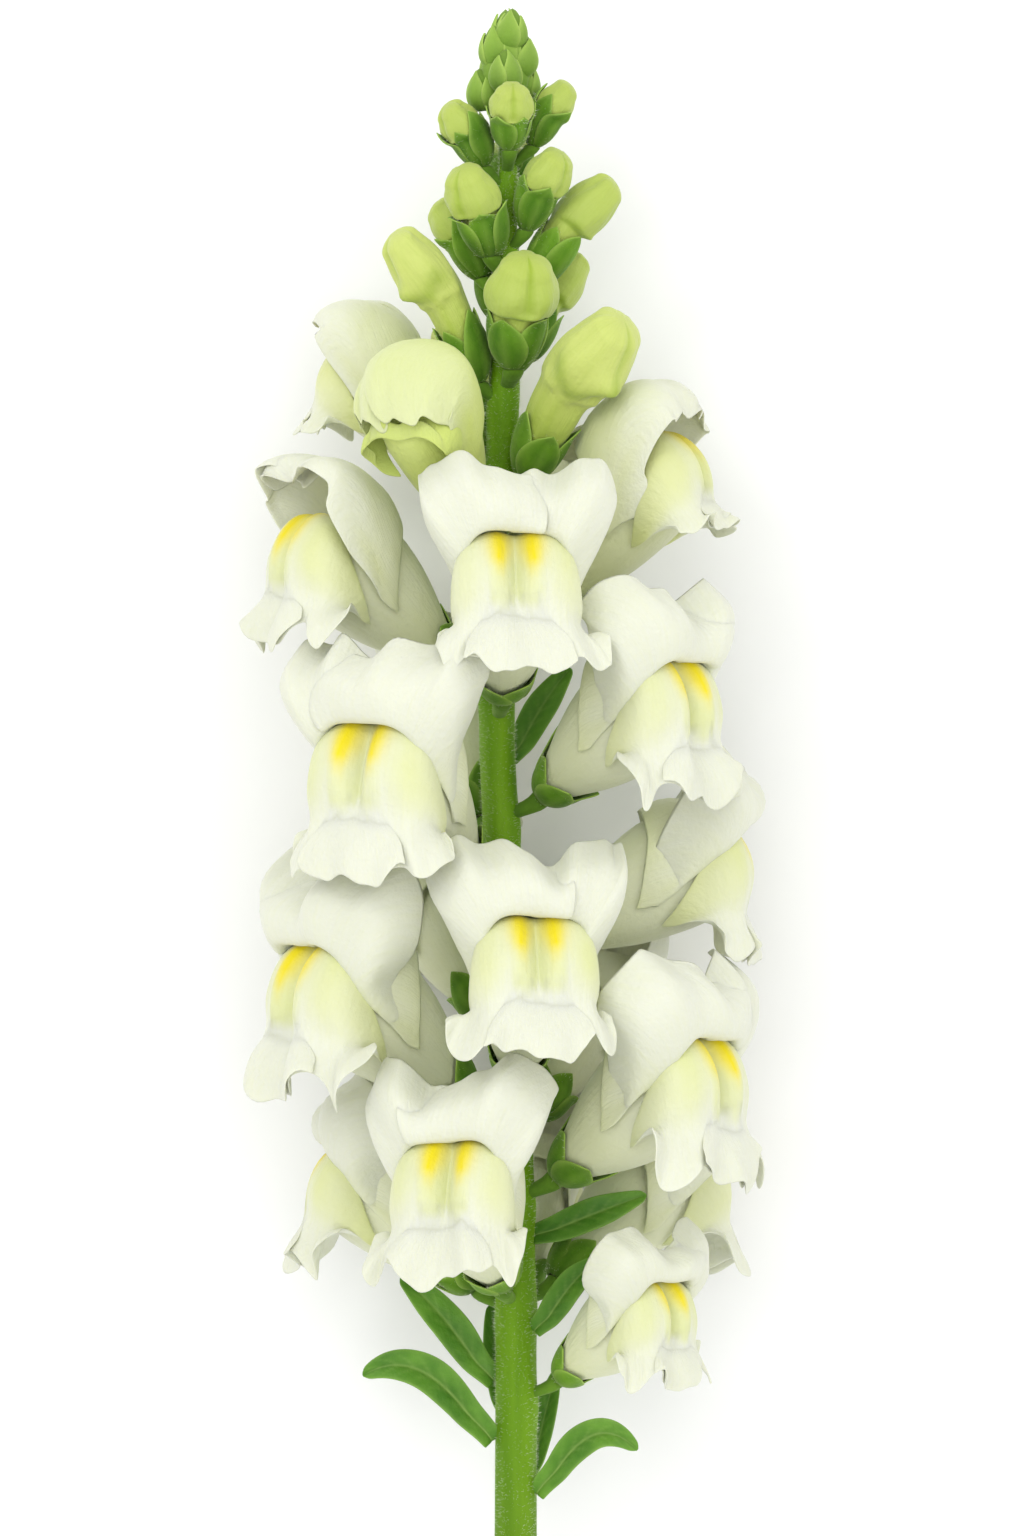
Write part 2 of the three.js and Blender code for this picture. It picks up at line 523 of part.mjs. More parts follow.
// The crowded green buds at the growing tip, set round it by the golden angle.
function growingTip() {
  const top = [[0, 0.6], [0.5, 0.95], [0.82, 0.8]];
  const parts = [tipBud([0, 270, 0], 20.8, 4.3, [-0.3, 0], 6, top)];
  for (let k = 0; k < 8; k++) {
    const around = k * rad(137.5) + 0.5;
    const reach = 2.1 + k * 0.42;
    const [sin, cos] = [Math.sin(around), Math.cos(around)];
    const foot = [sin * (reach - 1), 281.6 - k * 1.6, cos * (reach - 1)];
    parts.push(tipBud(foot, 8.8, 3.5, [sin * 1.2, cos * 1.2], 5, [[0.2, 0.85], [0.62, 0.85]]));
  }
  return parts;
}

// Half width of a leaf at t along it, as a share of its widest: a narrow foot and a pointed tip.
function leafWidth(t) {
  if (t > 0.99) return 0.07;
  return 0.22 + 0.78 * Math.sin(Math.PI * (0.12 + 0.88 * t)) ** 0.8;
}

// A blade along a bent middle line, folded a little at its midrib.
function blade({ root, tip, arch, wide }) {
  const [start, end] = [root, tip].map(([y, x, z]) => new THREE.Vector3(x, y, z));
  const middle = start.clone().lerp(end, 0.5).add(new THREE.Vector3(0, arch[0], arch[1]));
  const curve = new THREE.QuadraticBezierCurve3(start, middle, end);
  const axis = new THREE.Vector3(stemAt(root[0])[0], 0, STEM_LIFT);
  const grid = spread(LEAF_ROWS, 0, 1).map((t) => {
    const along = curve.getTangent(t);
    const outward = curve.getPoint(t).setY(0).normalize();
    const up = new THREE.Vector3(0, 0.2, 0.8).addScaledVector(outward, -0.2);
    const across = along.clone().cross(up).normalize();
    const fold = across.clone().cross(along).normalize();
    const half = (wide / 2) * leafWidth(t);
    return [-1, 0, 1].map((side) => {
      const point = curve.getPoint(t).addScaledVector(across, side * half);
      return point.addScaledVector(fold, Math.abs(side) * half * 0.22).add(axis).toArray();
    });
  });
  return sheet(grid, LEAF);
}

// ---- Assembly -----------------------------------------------------------------------------------
const snapdragon = new THREE.Group();

const greens = [stem(), ...growingTip()];
for (const spec of Object.values(BLOOMS)) greens.push(calyx(TUBE, spec, BLOOM_COVERED));
for (const spec of Object.values(BUDS)) {
  greens.push(calyx(budProfile(spec), spec, Math.min(MOST_COVERED, SEPAL_LONG / spec.long)));
}
snapdragon.add(meshOf(fuse(greens), "leafy_stem", "green"));

for (const [name, spec] of Object.entries(BLOOMS)) {
  snapdragon.add(meshOf(bloom(spec), `bloom_${name}`, spec.open < 0.6 ? "opening" : "petal"));
}
for (const [name, spec] of Object.entries(BUDS)) snapdragon.add(meshOf(bud(spec), `bud_${name}`, "bud"));
for (const [name, spec] of Object.entries(LEAVES)) snapdragon.add(meshOf(blade(spec), `leaf_${name}`, "leaf"));

snapdragon.position.set(-ORIGIN_X, -ORIGIN_Y, 0);

export default snapdragon;
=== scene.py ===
import math
import random

import bpy
from mathutils import Matrix, Vector, noise

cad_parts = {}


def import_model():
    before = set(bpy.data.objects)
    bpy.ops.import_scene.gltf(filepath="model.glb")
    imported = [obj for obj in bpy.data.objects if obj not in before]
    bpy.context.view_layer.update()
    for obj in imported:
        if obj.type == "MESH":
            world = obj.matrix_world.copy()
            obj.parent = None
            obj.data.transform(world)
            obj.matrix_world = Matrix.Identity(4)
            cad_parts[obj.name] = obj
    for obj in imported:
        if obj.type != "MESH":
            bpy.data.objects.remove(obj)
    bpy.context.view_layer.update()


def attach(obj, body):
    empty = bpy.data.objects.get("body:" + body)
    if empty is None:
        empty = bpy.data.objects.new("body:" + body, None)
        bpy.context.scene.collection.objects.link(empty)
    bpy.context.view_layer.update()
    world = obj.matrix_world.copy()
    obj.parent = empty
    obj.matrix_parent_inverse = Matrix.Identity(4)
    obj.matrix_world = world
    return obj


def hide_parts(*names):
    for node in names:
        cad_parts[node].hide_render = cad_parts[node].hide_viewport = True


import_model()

# A cut stem of white snapdragon lying on a table, front side up.
# Shapes are worked out in millimetres: x across the stem, y towards its tip, z up from the table.
MM = 0.001
STEM_LIFT = 38.5  # height of the stem's middle line above the surface
CUT_END_Y = -18  # where the stem was cut
SEPAL = 0.7  # thickness of the solid sepal, which sets where a stalk ends
SEPAL_LONG = 10  # length of a sepal
MOST_COVERED = 0.76  # share of a small bud that its sepals reach over
BLOOM_COVERED = 0.26  # share of an open bloom's tube that its sepals reach over
GAP = 0.75  # clearance between a corolla and the sepals round it
CALYX_OUT = 8.5  # how far an open bloom's calyx stands from the stem's middle line
STALK_SINK = 1.6  # how near to the middle line a flower stalk starts
FOOT = 0.03  # where the corolla starts above the calyx floor, along the tube
RUFFLE = 1.5  # wave of a petal's margin
ROLL = 1.2  # how much higher one side of a lip stands than the other
UPPER_FROM = 0.14  # where the upper lip leaves the tube, as a share of its length
REST_SOFTNESS = 0.8  # how gently a petal bends where it meets the surface
ORIGIN_X = 0  # middle of the bounding box, from the stem's own origin
ORIGIN_Y = 136.4
REST_HEIGHT = 0.2  # the lowest middle line of a petal that rests on the table
CAMERA_HEIGHT = 1.6
FRAME_TALL = 291.84 * MM  # how much of the stem's length the camera takes in
FRAME_X = 0.95 - ORIGIN_X
FRAME_Y = 145.92 - ORIGIN_Y

# Middle line of the stem: [y, x, radius]
STEM = [
    [CUT_END_Y, 1.6, 4.0],
    [18, 1.7, 3.9],
    [45, 1.7, 3.8],
    [92, 0.9, 3.6],
    [150, -1.9, 3.4],
    [188, -1.5, 3.2],
    [217, -0.6, 3.0],
    [245, -0.2, 2.3],
    [258, 0, 1.7],
    [272, -0.2, 1.3],
]

# Open and opening blooms. y: calyx base along the stem; turn: round the stem, 0 to the front, + to +X;
# lift: raises the mouth; yaw: turns the face on; open: 0 shut, 1 fully open;
# hood: 1 where the upper lip isn't folded back yet.
BLOOMS = {
    "a": {"y": 201, "turn": -118, "lift": 4, "yaw": 8, "size": 0.84, "open": 0.7, "hood": 1, "seed": 1},
    "b": {"y": 190.4, "turn": -34, "lift": 11, "yaw": 0, "size": 0.86, "open": 0.03, "seed": 2},
    "c": {"y": 175, "turn": 99, "lift": 10, "yaw": -24, "size": 1.04, "open": 0.6, "hood": 1, "seed": 3},
    "d": {"y": 165, "turn": -85, "lift": -2, "yaw": 20, "size": 0.99, "open": 0.9, "hood": 1, "seed": 4},
    "e": {"y": 159.2, "turn": 7, "lift": 0, "yaw": -2.7, "size": 1.0, "open": 1, "seed": 14},
    "f": {"y": 125, "turn": -48, "lift": -6.9, "yaw": 17, "size": 1.1, "open": 1, "seed": 6},
    "g": {"y": 140.3, "turn": 70.8, "lift": -7.4, "yaw": -19.9, "size": 0.98, "open": 1, "seed": 25},
    "h": {"y": 111.5, "turn": 114.4, "lift": -11.8, "yaw": -22.6, "size": 0.99, "open": 0.95, "seed": 3},
    "i": {"y": 88, "turn": 5, "lift": 0, "yaw": 2, "size": 1.0, "open": 1, "seed": 9},
    "j": {"y": 82.4, "turn": -84, "lift": -4, "yaw": 26, "size": 1.08, "open": 1, "seed": 10},
    "k": {"y": 98, "turn": -149, "lift": 6, "yaw": 0, "size": 0.92, "open": 0.95, "seed": 11},
    "l": {"y": 68.2, "turn": 71, "lift": -6.7, "yaw": -15.2, "size": 1.02, "open": 1, "seed": 12},
    "m": {"y": 48, "turn": -21, "lift": -2, "yaw": 4, "size": 0.98, "open": 1, "seed": 13},
    "n": {"y": 46.7, "turn": -122, "lift": 0, "yaw": 33, "size": 0.9, "open": 1, "seed": 5},
    "o": {"y": 30, "turn": 74, "lift": -8, "yaw": -24, "size": 0.76, "open": 0.9, "seed": 15},
    "p": {"y": 79.4, "turn": 149.1, "lift": 3.4, "yaw": 1.3, "size": 0.92, "open": 0.95, "seed": 16},
    "q": {"y": 48, "turn": 117.5, "lift": -4, "yaw": 0, "size": 0.94, "open": 1, "seed": 17},
    "r": {"y": 176, "turn": 164, "lift": 6, "yaw": 0, "size": 0.84, "open": 0.8, "seed": 18},
    "s": {"y": 136, "turn": -160, "lift": 8, "yaw": 0, "size": 0.92, "open": 0.95, "seed": 19},
    "t": {"y": 44.6, "turn": 176, "lift": 6, "yaw": 0, "size": 0.88, "open": 0.95, "seed": 20},
}

# Closed buds whose corolla stands out of the calyx. long: calyx base to the top of the head.
BUDS = {
    "a": {"y": 263, "turn": 6, "lift": 20, "long": 11.2, "head": 3.7, "out": 5.2},
    "b": {"y": 260, "turn": -66, "lift": 12, "long": 12, "head": 3.6, "out": 4.8},
    "c": {"y": 264, "turn": 82, "lift": 14, "long": 12, "head": 3.2, "out": 5.0},
    "d": {"y": 248, "turn": 48, "lift": 14, "long": 14.5, "head": 4.0, "out": 5.0},
    "e": {"y": 243, "turn": -36, "lift": 16, "long": 16, "head": 4.7, "out": 4.9},
    "f": {"y": 239, "turn": -108, "lift": 14, "long": 15, "head": 4.0, "out": 4.6},
    "g": {"y": 237.6, "turn": 88, "lift": 8, "long": 22.5, "head": 4.4, "out": 5.4},
    "h": {"y": 219, "turn": -67, "lift": 14, "long": 30, "head": 4.8, "out": 5.4},
    "i": {"y": 221.5, "turn": 16, "lift": 22, "long": 19.5, "head": 6.1, "out": 6.6},
    "j": {"y": 223.6, "turn": 130, "lift": 12, "long": 22, "head": 4.2, "out": 4.8},
    "k": {"y": 201, "turn": 47, "lift": 5, "long": 34.4, "head": 6.5, "out": 6.4},
    "l": {"y": 254, "turn": 172, "lift": 14, "long": 14, "head": 3.5, "out": 3.6},
    "m": {"y": 231, "turn": -168, "lift": 12, "long": 20, "head": 4.1, "out": 4.4},
    "n": {"y": 204, "turn": -158, "lift": 10, "long": 30, "head": 5.6, "out": 6.0},
}

# Leaves: root and tip round the stem, as [y, x, z] from the middle line; arch: height of the bend.
LEAVES = {
    "low_left": {"root": [18, -5.8, 1], "tip": [31, -29, 8], "arch": [14, 5], "wide": 7.4},
    "upper_left": {"root": [29, -5.2, -2], "tip": [49, -22, -3], "arch": [4, 3], "wide": 7.2},
    "back_left": {"root": [22, -2.5, -4.3], "tip": [43, -5, -13], "arch": [2, -3], "wide": 5},
    "low_right": {"root": [8, 5.2, 2], "tip": [17, 23, 9], "arch": [14, 5], "wide": 6.4},
    "back_right": {"root": [10, 2.8, -4.2], "tip": [31, 8, -12], "arch": [2, -3], "wide": 4.6},
    "mid_right": {"root": [39, 4.6, 3.0], "tip": [53, 15.5, 9], "arch": [3, 2], "wide": 6.0},
    "bract_right": {"root": [57, 4.7, 0.5], "tip": [65, 25, 3.5], "arch": [0.5, 2], "wide": 6.4},
    "behind_right": {"root": [147, 2.8, -3.8], "tip": [165, 14, -10], "arch": [3, -2], "wide": 6.2},
}

# Side profile of the tube from calyx to mouth: [back z, back y, belly z, belly y, half width]
TUBE = [
    [-1.5, 1.8, 1.7, -1.2, 2.3],
    [1.0, 7.6, 6.2, 0.6, 4.4],
    [3.8, 14.6, 12.0, 2.2, 6.6],
    [7.4, 21.6, 18.0, 4.2, 8.4],
    [14.0, 29.4, 24.0, 7.4, 9.6],
    [21.0, 30.6, 29.0, 10.6, 9.6],
    [28.0, 27.6, 32.6, 14.0, 7.6],
]
TUBE_FRONT = (0, 21.5, 30.6)  # the front of the rounded end

# Form of a bud: [place along it, radius to the back, radius to the belly], as shares of its size.
BUD_FORM = [
    [0, 0.38, 0.38],
    [0.2, 0.64, 0.62],
    [0.4, 0.8, 0.76],
    [0.55, 0.9, 0.78],
    [0.63, 1.0, 1.02],
    [0.82, 1.04, 1.1],
    [1, 0.78, 0.8],
]

# Upper lip, right half, from the middle outwards. Each station runs from the tube to the petal's margin.
UPPER_OPEN = [
    [[0, 20, 7], [0, 32, 13.5], [0, 33, 23.6], [0, 30.2, 31], [0, 36.4, 32.6], [0, 42, 26.4]],
    [[5, 18.5, 7.6], [5.5, 31.4, 14.4], [6, 32, 25], [6, 30.4, 32.2], [7.2, 38.6, 32.4], [8, 44.4, 24.4]],
    [[7.6, 15.6, 9.2], [9.2, 27, 16], [9.8, 28.2, 25], [8.9, 28.1, 31], [14.6, 38.6, 30.4], [15.8, 44.6, 21]],
    [[8.6, 12.6, 10.6], [9.8, 20.4, 16.2], [9.3, 21.7, 23.6],
        [9.7, 24, 28.8], [17.2, 32.2, 27.6], [17.8, 37, 18.2]],
    [[8.8, 10.8, 11.4], [9.4, 15.2, 16.2], [9.8, 17.2, 20.8],
        [10.4, 19.2, 24.6], [11.6, 21.6, 23.2], [8.4, 21.4, 16.8]],
    [[8.2, 9.4, 11.6], [8.8, 11.2, 15.6], [9.0, 12, 17.2],
        [8.8, 12.4, 17.6], [7.8, 12.8, 16.6], [6.6, 12.4, 14.6]],
]

# A younger upper lip, stood up as a hood with its margin forward.
UPPER_HOOD = [
    [[0, 18.2, 8.4], [0, 32, 12.5], [0, 38.5, 18.5], [0, 40.5, 24], [0, 40, 28.5], [0, 38, 31.5]],
    [[4.2, 16.8, 9], [5.6, 31, 13.4], [6.2, 38.4, 19.4], [6.6, 42, 25], [6.8, 42.6, 30], [6.8, 41, 33.4]],
    [[6.2, 14.4, 10.2], [9.6, 27, 15.4], [11, 34.6, 20.6],
        [12, 38.8, 25.6], [12.6, 40, 30.4], [12.8, 38.6, 33.4]],
    [[6.8, 12, 11.4], [10.8, 21, 16.6], [12.8, 27.6, 21.4],
        [14, 31.4, 25.4], [14.8, 33, 28.8], [14.8, 32.2, 31.2]],
    [[6.8, 10.6, 12], [9.8, 15.4, 16.6], [11.2, 19.6, 20.4],
        [12.2, 22.4, 23], [12.6, 24, 25], [12.6, 24.6, 26.6]],
    [[6.4, 9.6, 12.2], [8.8, 11, 15.8], [9.4, 12.4, 18],
        [9.8, 13.4, 19.4], [10, 14.2, 20.4], [10.2, 15, 21.2]],
]

UPPER_SHUT = [
    [[0, 20, 7], [0, 32, 14.5], [0, 37.5, 26], [0, 33.5, 34], [0, 25.5, 37.2], [0, 18, 36]],
    [[5, 18.5, 7.6], [5.6, 31, 15.5], [6.2, 36.6, 25.6], [6.4, 32.6, 33.6], [5.8, 25, 36.8], [5, 17.4, 36.2]],
    [[7.6, 15.6, 9.2], [10, 26.6, 17.4], [11, 32.6, 24.6],
        [11.6, 30.6, 30.8], [10.8, 25, 34.4], [9.6, 18.4, 34.6]],
    [[8.6, 12.6, 10.6], [11, 21.4, 17.8], [12.4, 26.4, 23],
        [13, 26.6, 27.6], [13, 23.8, 30.8], [12.2, 19.4, 31.8]],
    [[8.8, 10.8, 11.4], [10.2, 16, 17], [11.2, 19, 21.6],
        [12, 19.8, 24.8], [12.4, 19.2, 27.2], [12.4, 17.4, 28.6]],
    [[8.2, 9.4, 11.6], [8.9, 11.6, 16.6], [9.6, 13, 19.8],
        [10.4, 13.8, 22.4], [11, 14, 24.4], [11.2, 13.8, 26]],
]

# Palate and lower lip, right half: groove, hump, middle lobe's edge, side lobe, its tip, its back edge.
LOWER_OPEN = [
    [[0, 27.6, 22.5], [0, 28.8, 28.4], [0, 22.2, 32.8], [0, 15.8, 34.4], [0, 10.4, 36.8], [0, 5.4, 37.6]],
    [[2.8, 28.6, 23], [3.4, 30.4, 29.8], [4.2, 23.6, 35], [4.2, 16, 36], [4.8, 10.4, 38], [5.4, 5.6, 38.6]],
    [[5.4, 27.2, 23], [8.3, 28.7, 30], [9, 21.8, 34.2], [8.4, 15, 34.8], [9, 11, 37], [9.6, 8.2, 37.8]],
    [[8, 22, 22.5], [11, 23.6, 28.6], [11.6, 18, 31.4], [10.8, 13.4, 32.4], [12.2, 8.4, 35], [13.4, 3.8, 36]],
    [[9, 14, 21], [10.4, 13.8, 24.2], [11.4, 13.6, 27.2],
        [11.4, 12.8, 30], [13.8, 10.4, 32.6], [16, 7, 33.8]],
    [[5.6, 8.4, 19], [7.4, 8.8, 21], [9.2, 9.6, 23], [11, 11.4, 25.2], [13.4, 13, 28], [15.8, 12.4, 29.6]],
]

LOWER_SHUT = [
    [[0, 26.4, 23], [0, 25.4, 28], [0, 20.5, 30.8], [0, 15.6, 31.4], [0, 14, 32.4], [0, 17.8, 33.4]],
    [[3, 27.2, 23], [3.3, 26.4, 28.4], [3.6, 21, 31.6], [3.7, 15.6, 32], [3.9, 14, 33], [3.6, 17.8, 33.6]],
    [[6.4, 25.2, 23], [7, 24, 27.8], [7.4, 19, 30.8], [7.6, 14.6, 31.4], [8, 13.4, 32], [7.6, 17, 32.4]],
    [[8.8, 20, 22.5], [10, 19, 26], [10.4, 15.4, 28.6],
        [10.4, 12.4, 29.8], [10.4, 12, 30.4], [9.8, 15.4, 30.6]],
    [[9, 14, 21], [10.4, 13.2, 23.6], [10.8, 11.8, 26],
        [10.8, 10.6, 27.4], [10.8, 11, 28.2], [10.4, 13.4, 28.6]],
    [[5.6, 8.4, 19], [7.4, 8, 21], [8.8, 8, 23], [9.6, 8.6, 24.6], [10, 9.8, 25.8], [10, 11.6, 26.6]],
]

PETAL_THICK = 0.34
SEPAL_THICK = 0.32
LEAF_THICK = 0.5
OPENING_UNDER = 0.6  # flowers less open than this have the greener petals
LOWER_SHOWS = 0.1  # where the lower lip is drawn from, as a share of its length
TURN_FADE = 200  # how slowly the face count falls as a flower turns away, in degrees

# How many faces each sheet has, across and along.
UPPER_FACES = (28, 14)
LOWER_FACES = (48, 18)
MIDDLE_FACES = (18, 10)
TUBE_FACES = (20, 16)
BUD_FACES = (28, 32)
SEPAL_FACES = (6, 8)
CORE_FACES = (12, 8)
STALK_FACES = (16, 7)
STEM_FACES = (28, 110)
LEAF_FACES = (14, 30)

# Down: how many hairs, how thick at the root, and how deep the root sits.
STEM_HAIRS = 15000
CALYX_HAIRS = 240
HAIR_RADIUS = 0.027
HAIR_ROOT = 0.1

# The growing tip: how many small buds stand round the last one, and how they wind.
TIP_BUDS = 8
WINDING = math.radians(137.5)


# ---- Small mathematics ---------------------------------------------------------------------------
def mix(a, b, t):
    return tuple(p + (q - p) * t for p, q in zip(a, b))


def clamp(t, low=0.0, high=1.0):
    return max(low, min(high, t))


def smooth(t):
    t = clamp(t)
    return t * t * (3 - 2 * t)


def hump(t, width):
    return math.exp(-((t / width) ** 2))


def through(points, t):
    """A smooth curve through evenly spaced points, at t from 0 to 1."""
    last = len(points) - 1
    at = clamp(t) * last
    i = min(int(at), last - 1)
    f = at - i
    before = points[i - 1] if i > 0 else mix(points[1], points[0], 2)
    after = points[i + 2] if i + 2 <= last else mix(points[last - 1], points[last], 2)
    curve = []
    for a, b, c, d in zip(before, points[i], points[i + 1], after):
        slope = (c - a) / 2
        end = (d - b) / 2
        bend = 3 * (c - b) - 2 * slope - end
        twist = 2 * (b - c) + slope + end
        curve.append(b + f * (slope + f * (bend + f * twist)))
    return tuple(curve)


def stem_at(y):
    """The stem's middle line at height y: x and radius."""
    k = next((i for i, row in enumerate(STEM) if row[0] >= y), len(STEM) - 1)
    k = max(1, k)
    low, high = STEM[k - 1], STEM[k]
    t = clamp((y - low[0]) / (high[0] - low[0]))
    return mix(low, high, t)[1:]


def placer(spec):
    """Turns a flower's own frame (x across, y up the stem, z outwards) into the stem's."""
    around = math.radians(spec["turn"])
    out = spec.get("out", CALYX_OUT)
    x, y = stem_at(spec["y"])[0], spec["y"]
    base = Vector((x + math.sin(around) * out, y, STEM_LIFT + math.cos(around) * out))
    turn = Matrix.Rotation(around + math.radians(spec.get("yaw", 0)), 4, "Y")
    lift = Matrix.Rotation(-math.radians(spec.get("lift", 0)), 4, "X")
    matrix = Matrix.Translation(base) @ turn @ lift @ Matrix.Scale(spec.get("size", 1), 4)
    return lambda p: matrix @ Vector(p)


def settle(point):
    """Petals that would pass through the table bend along it instead."""
    over = point.z - REST_HEIGHT
    point.z = REST_HEIGHT + (over + math.hypot(over, REST_SOFTNESS)) / 2
    return point


def world(point):
    """From the stem's millimetres to the model's metres."""
    return Vector(((point[0] - ORIGIN_X) * MM, (point[1] - ORIGIN_Y) * MM, point[2] * MM))


# ---- Mesh tools ----------------------------------------------------------------------------------
def deselect():
    bpy.ops.object.select_all(action="DESELECT")


def pick(piece):
    deselect()
    piece.select_set(True)
    bpy.context.view_layer.objects.active = piece


def finish_with(piece, kind, **settings):
    """Adds a modifier and applies it."""
    pick(piece)
    modifier = piece.modifiers.new(kind.title(), kind)
    for name, value in settings.items():
        setattr(modifier, name, value)
    bpy.ops.object.modifier_apply(modifier=modifier.name)


def thicken(piece, thickness):
    finish_with(piece, "SOLIDIFY", thickness=thickness * MM, offset=0, use_rim=True)


def soften(piece):
    finish_with(piece, "SUBSURF", levels=1, render_levels=1)


def join(name, pieces):
    deselect()
    for piece in pieces:
        piece.select_set(True)
    bpy.context.view_layer.objects.active = pieces[0]
    if len(pieces) > 1:
        bpy.ops.object.join()
    whole = pieces[0]
    whole.name = name
    whole.data.name = name
    return whole


def lay_sheet(across, along, point, tone=None):
    """A flat grid bent to a form. point(u, v) is its place, u from -1 to 1 and v from 0 to 1.
    tone(u, v) is painted on it: on petals gold, a cream tint that also carries painted shade, and deep green;
    on greens pale, and deep that is partly painted shade."""
    deselect()
    bpy.ops.mesh.primitive_grid_add(x_subdivisions=across, y_subdivisions=along, size=2)
    piece = bpy.context.object
    mesh = piece.data
    paint = mesh.color_attributes.new("tone", "FLOAT_COLOR", "POINT")
    places = [(vertex.co.x, (vertex.co.y + 1) / 2) for vertex in mesh.vertices]
    for vertex, (u, v) in zip(mesh.vertices, places):
        vertex.co = world(point(round(u, 6), round(v, 6)))
        paint.data[vertex.index].color = (*tone(u, v), 1) if tone else (0, 0, 0, 1)
    return piece


def wrap_skin(across, along, point, tone=None):
    """A grid bent round into a closed skin, its seam and its two poles merged."""
    piece = lay_sheet(across, along, point, tone)
    pick(piece)
    bpy.ops.object.mode_set(mode="EDIT")
    bpy.ops.mesh.select_all(action="SELECT")
    bpy.ops.mesh.remove_doubles(threshold=1e-6)
    bpy.ops.mesh.normals_make_consistent(inside=False)
    bpy.ops.object.mode_set(mode="OBJECT")
    return piece


def dress(piece, material, node=None, smooth_all=True):
    """Gives a finished piece its material and its body, and hides the model part it stands in for."""
    piece.data.materials.clear()
    piece.data.materials.append(material)
    pick(piece)
    if smooth_all:
        bpy.ops.object.shade_smooth()
    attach(piece, "root")
    if node:
        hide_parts(node)


# ---- Materials -----------------------------------------------------------------------------------
class Finish:
    """A material put together from nodes, with short calls for the ones used here."""

    def __init__(self, name, roughness):
        self.material = bpy.data.materials.new(name)
        self.material.use_nodes = True
        self.nodes = self.material.node_tree.nodes
        self.links = self.material.node_tree.links
        self.shader = self.nodes["Principled BSDF"]
        self.shader.inputs["Roughness"].default_value = roughness

    def node(self, kind, **settings):
        made = self.nodes.new(kind)
        for name, value in settings.items():
            setattr(made, name, value)
        return made

    def put(self, socket, value):
        if isinstance(value, bpy.types.NodeSocket):
            self.links.new(value, socket)
        else:
            socket.default_value = value

    def blend(self, factor, low, high, mode="MIX"):
        made = self.node("ShaderNodeMix", data_type="RGBA", blend_type=mode)
        self.put(made.inputs[0], factor)
        self.put(made.inputs[6], low)
        self.put(made.inputs[7], high)
        return made.outputs[2]

    def sum(self, kind, a, b):
        made = self.node("ShaderNodeMath", operation=kind)
        self.put(made.inputs[0], a)
        self.put(made.inputs[1], b)
        return made.outputs[0]

    def ramp(self, factor, stops):
        made = self.node("ShaderNodeValToRGB")
        self.put(made.inputs[0], factor)
        made.color_ramp.elements[0].position = stops[0][0]
        made.color_ramp.elements[0].color = stops[0][1]
        made.color_ramp.elements[1].position = stops[-1][0]
        made.color_ramp.elements[1].color = stops[-1][1]
        for place, colour in stops[1:-1]:
            made.color_ramp.elements.new(place).color = colour
        return made.outputs[0]

    def noise(self, coordinate, scale, stretch=(1, 1, 1), detail=3.0):
        source = self.node("ShaderNodeTexCoord").outputs[coordinate]
        mapping = self.node("ShaderNodeMapping")
        self.links.new(source, mapping.inputs[0])
        mapping.inputs["Scale"].default_value = stretch
        made = self.node("ShaderNodeTexNoise")
        self.links.new(mapping.outputs[0], made.inputs["Vector"])
        made.inputs["Scale"].default_value = scale
        made.inputs["Detail"].default_value = detail
        return made.outputs[0]

    def bump(self, height, strength, distance):
        made = self.node("ShaderNodeBump")
        made.inputs["Strength"].default_value = strength
        made.inputs["Distance"].default_value = distance
        self.links.new(height, made.inputs["Height"])
        self.links.new(made.outputs[0], self.shader.inputs["Normal"])

    def soft(self, weight, scale, radius):
        self.shader.inputs["Subsurface Weight"].default_value = weight
        self.shader.inputs["Subsurface Scale"].default_value = scale
        self.shader.inputs["Subsurface Radius"].default_value = radius


def colour(red, green, blue):
    """A colour as it looks on a screen, 0 to 255, made linear."""
    return (*((c / 255) ** 2.2 for c in (red, green, blue)), 1)


BLACK = (0, 0, 0, 1)
FAINT = (0.12, 0.12, 0.12, 1)
PALATE_GOLD = colour(226, 208, 8)
DOWNY_SHEEN = colour(214, 232, 170)
SKIN_DEPTH = 0.0006


def petal_finish(name, white, cream_and_shade_colour, green):
    """Velvety petal: cream and green where it is painted so, the cream also laid in as painted shade, gold on
    the palate, streaks along it.
    """
    made = Finish(name, 0.55)
    tone = made.node("ShaderNodeAttribute", attribute_name="tone").outputs["Color"]
    parts = made.node("ShaderNodeSeparateColor")
    made.links.new(tone, parts.inputs[0])
    gold, cream_and_shade, deep = parts.outputs
    streaks = made.noise("UV", 9, (7, 0.6, 1), 4.0)
    patches = made.noise("Object", 60, detail=2.0)
    # the cream tint holds both the petals' real cream and painted shade at folds, on shaded flanks and under
    # bud hoods
    base = made.blend(made.sum("MULTIPLY", cream_and_shade, made.sum("ADD", patches, 0.5)), white, cream_and_shade_colour)
    base = made.blend(deep, base, green)
    base = made.blend(made.ramp(streaks, [(0.42, BLACK), (0.7, FAINT)]), base, cream_and_shade_colour)
    base = made.blend(gold, base, PALATE_GOLD)
    made.put(made.shader.inputs["Base Color"], base)
    made.shader.inputs["Sheen Weight"].default_value = 0.15
    made.shader.inputs["Sheen Roughness"].default_value = 0.5
    made.shader.inputs["Specular IOR Level"].default_value = 0.3
    made.soft(0.2, SKIN_DEPTH, (1.0, 0.95, 0.6))
    made.bump(made.sum("ADD", streaks, made.noise("Object", 900, detail=2.0)), 0.45, 0.0004)
    return made.material


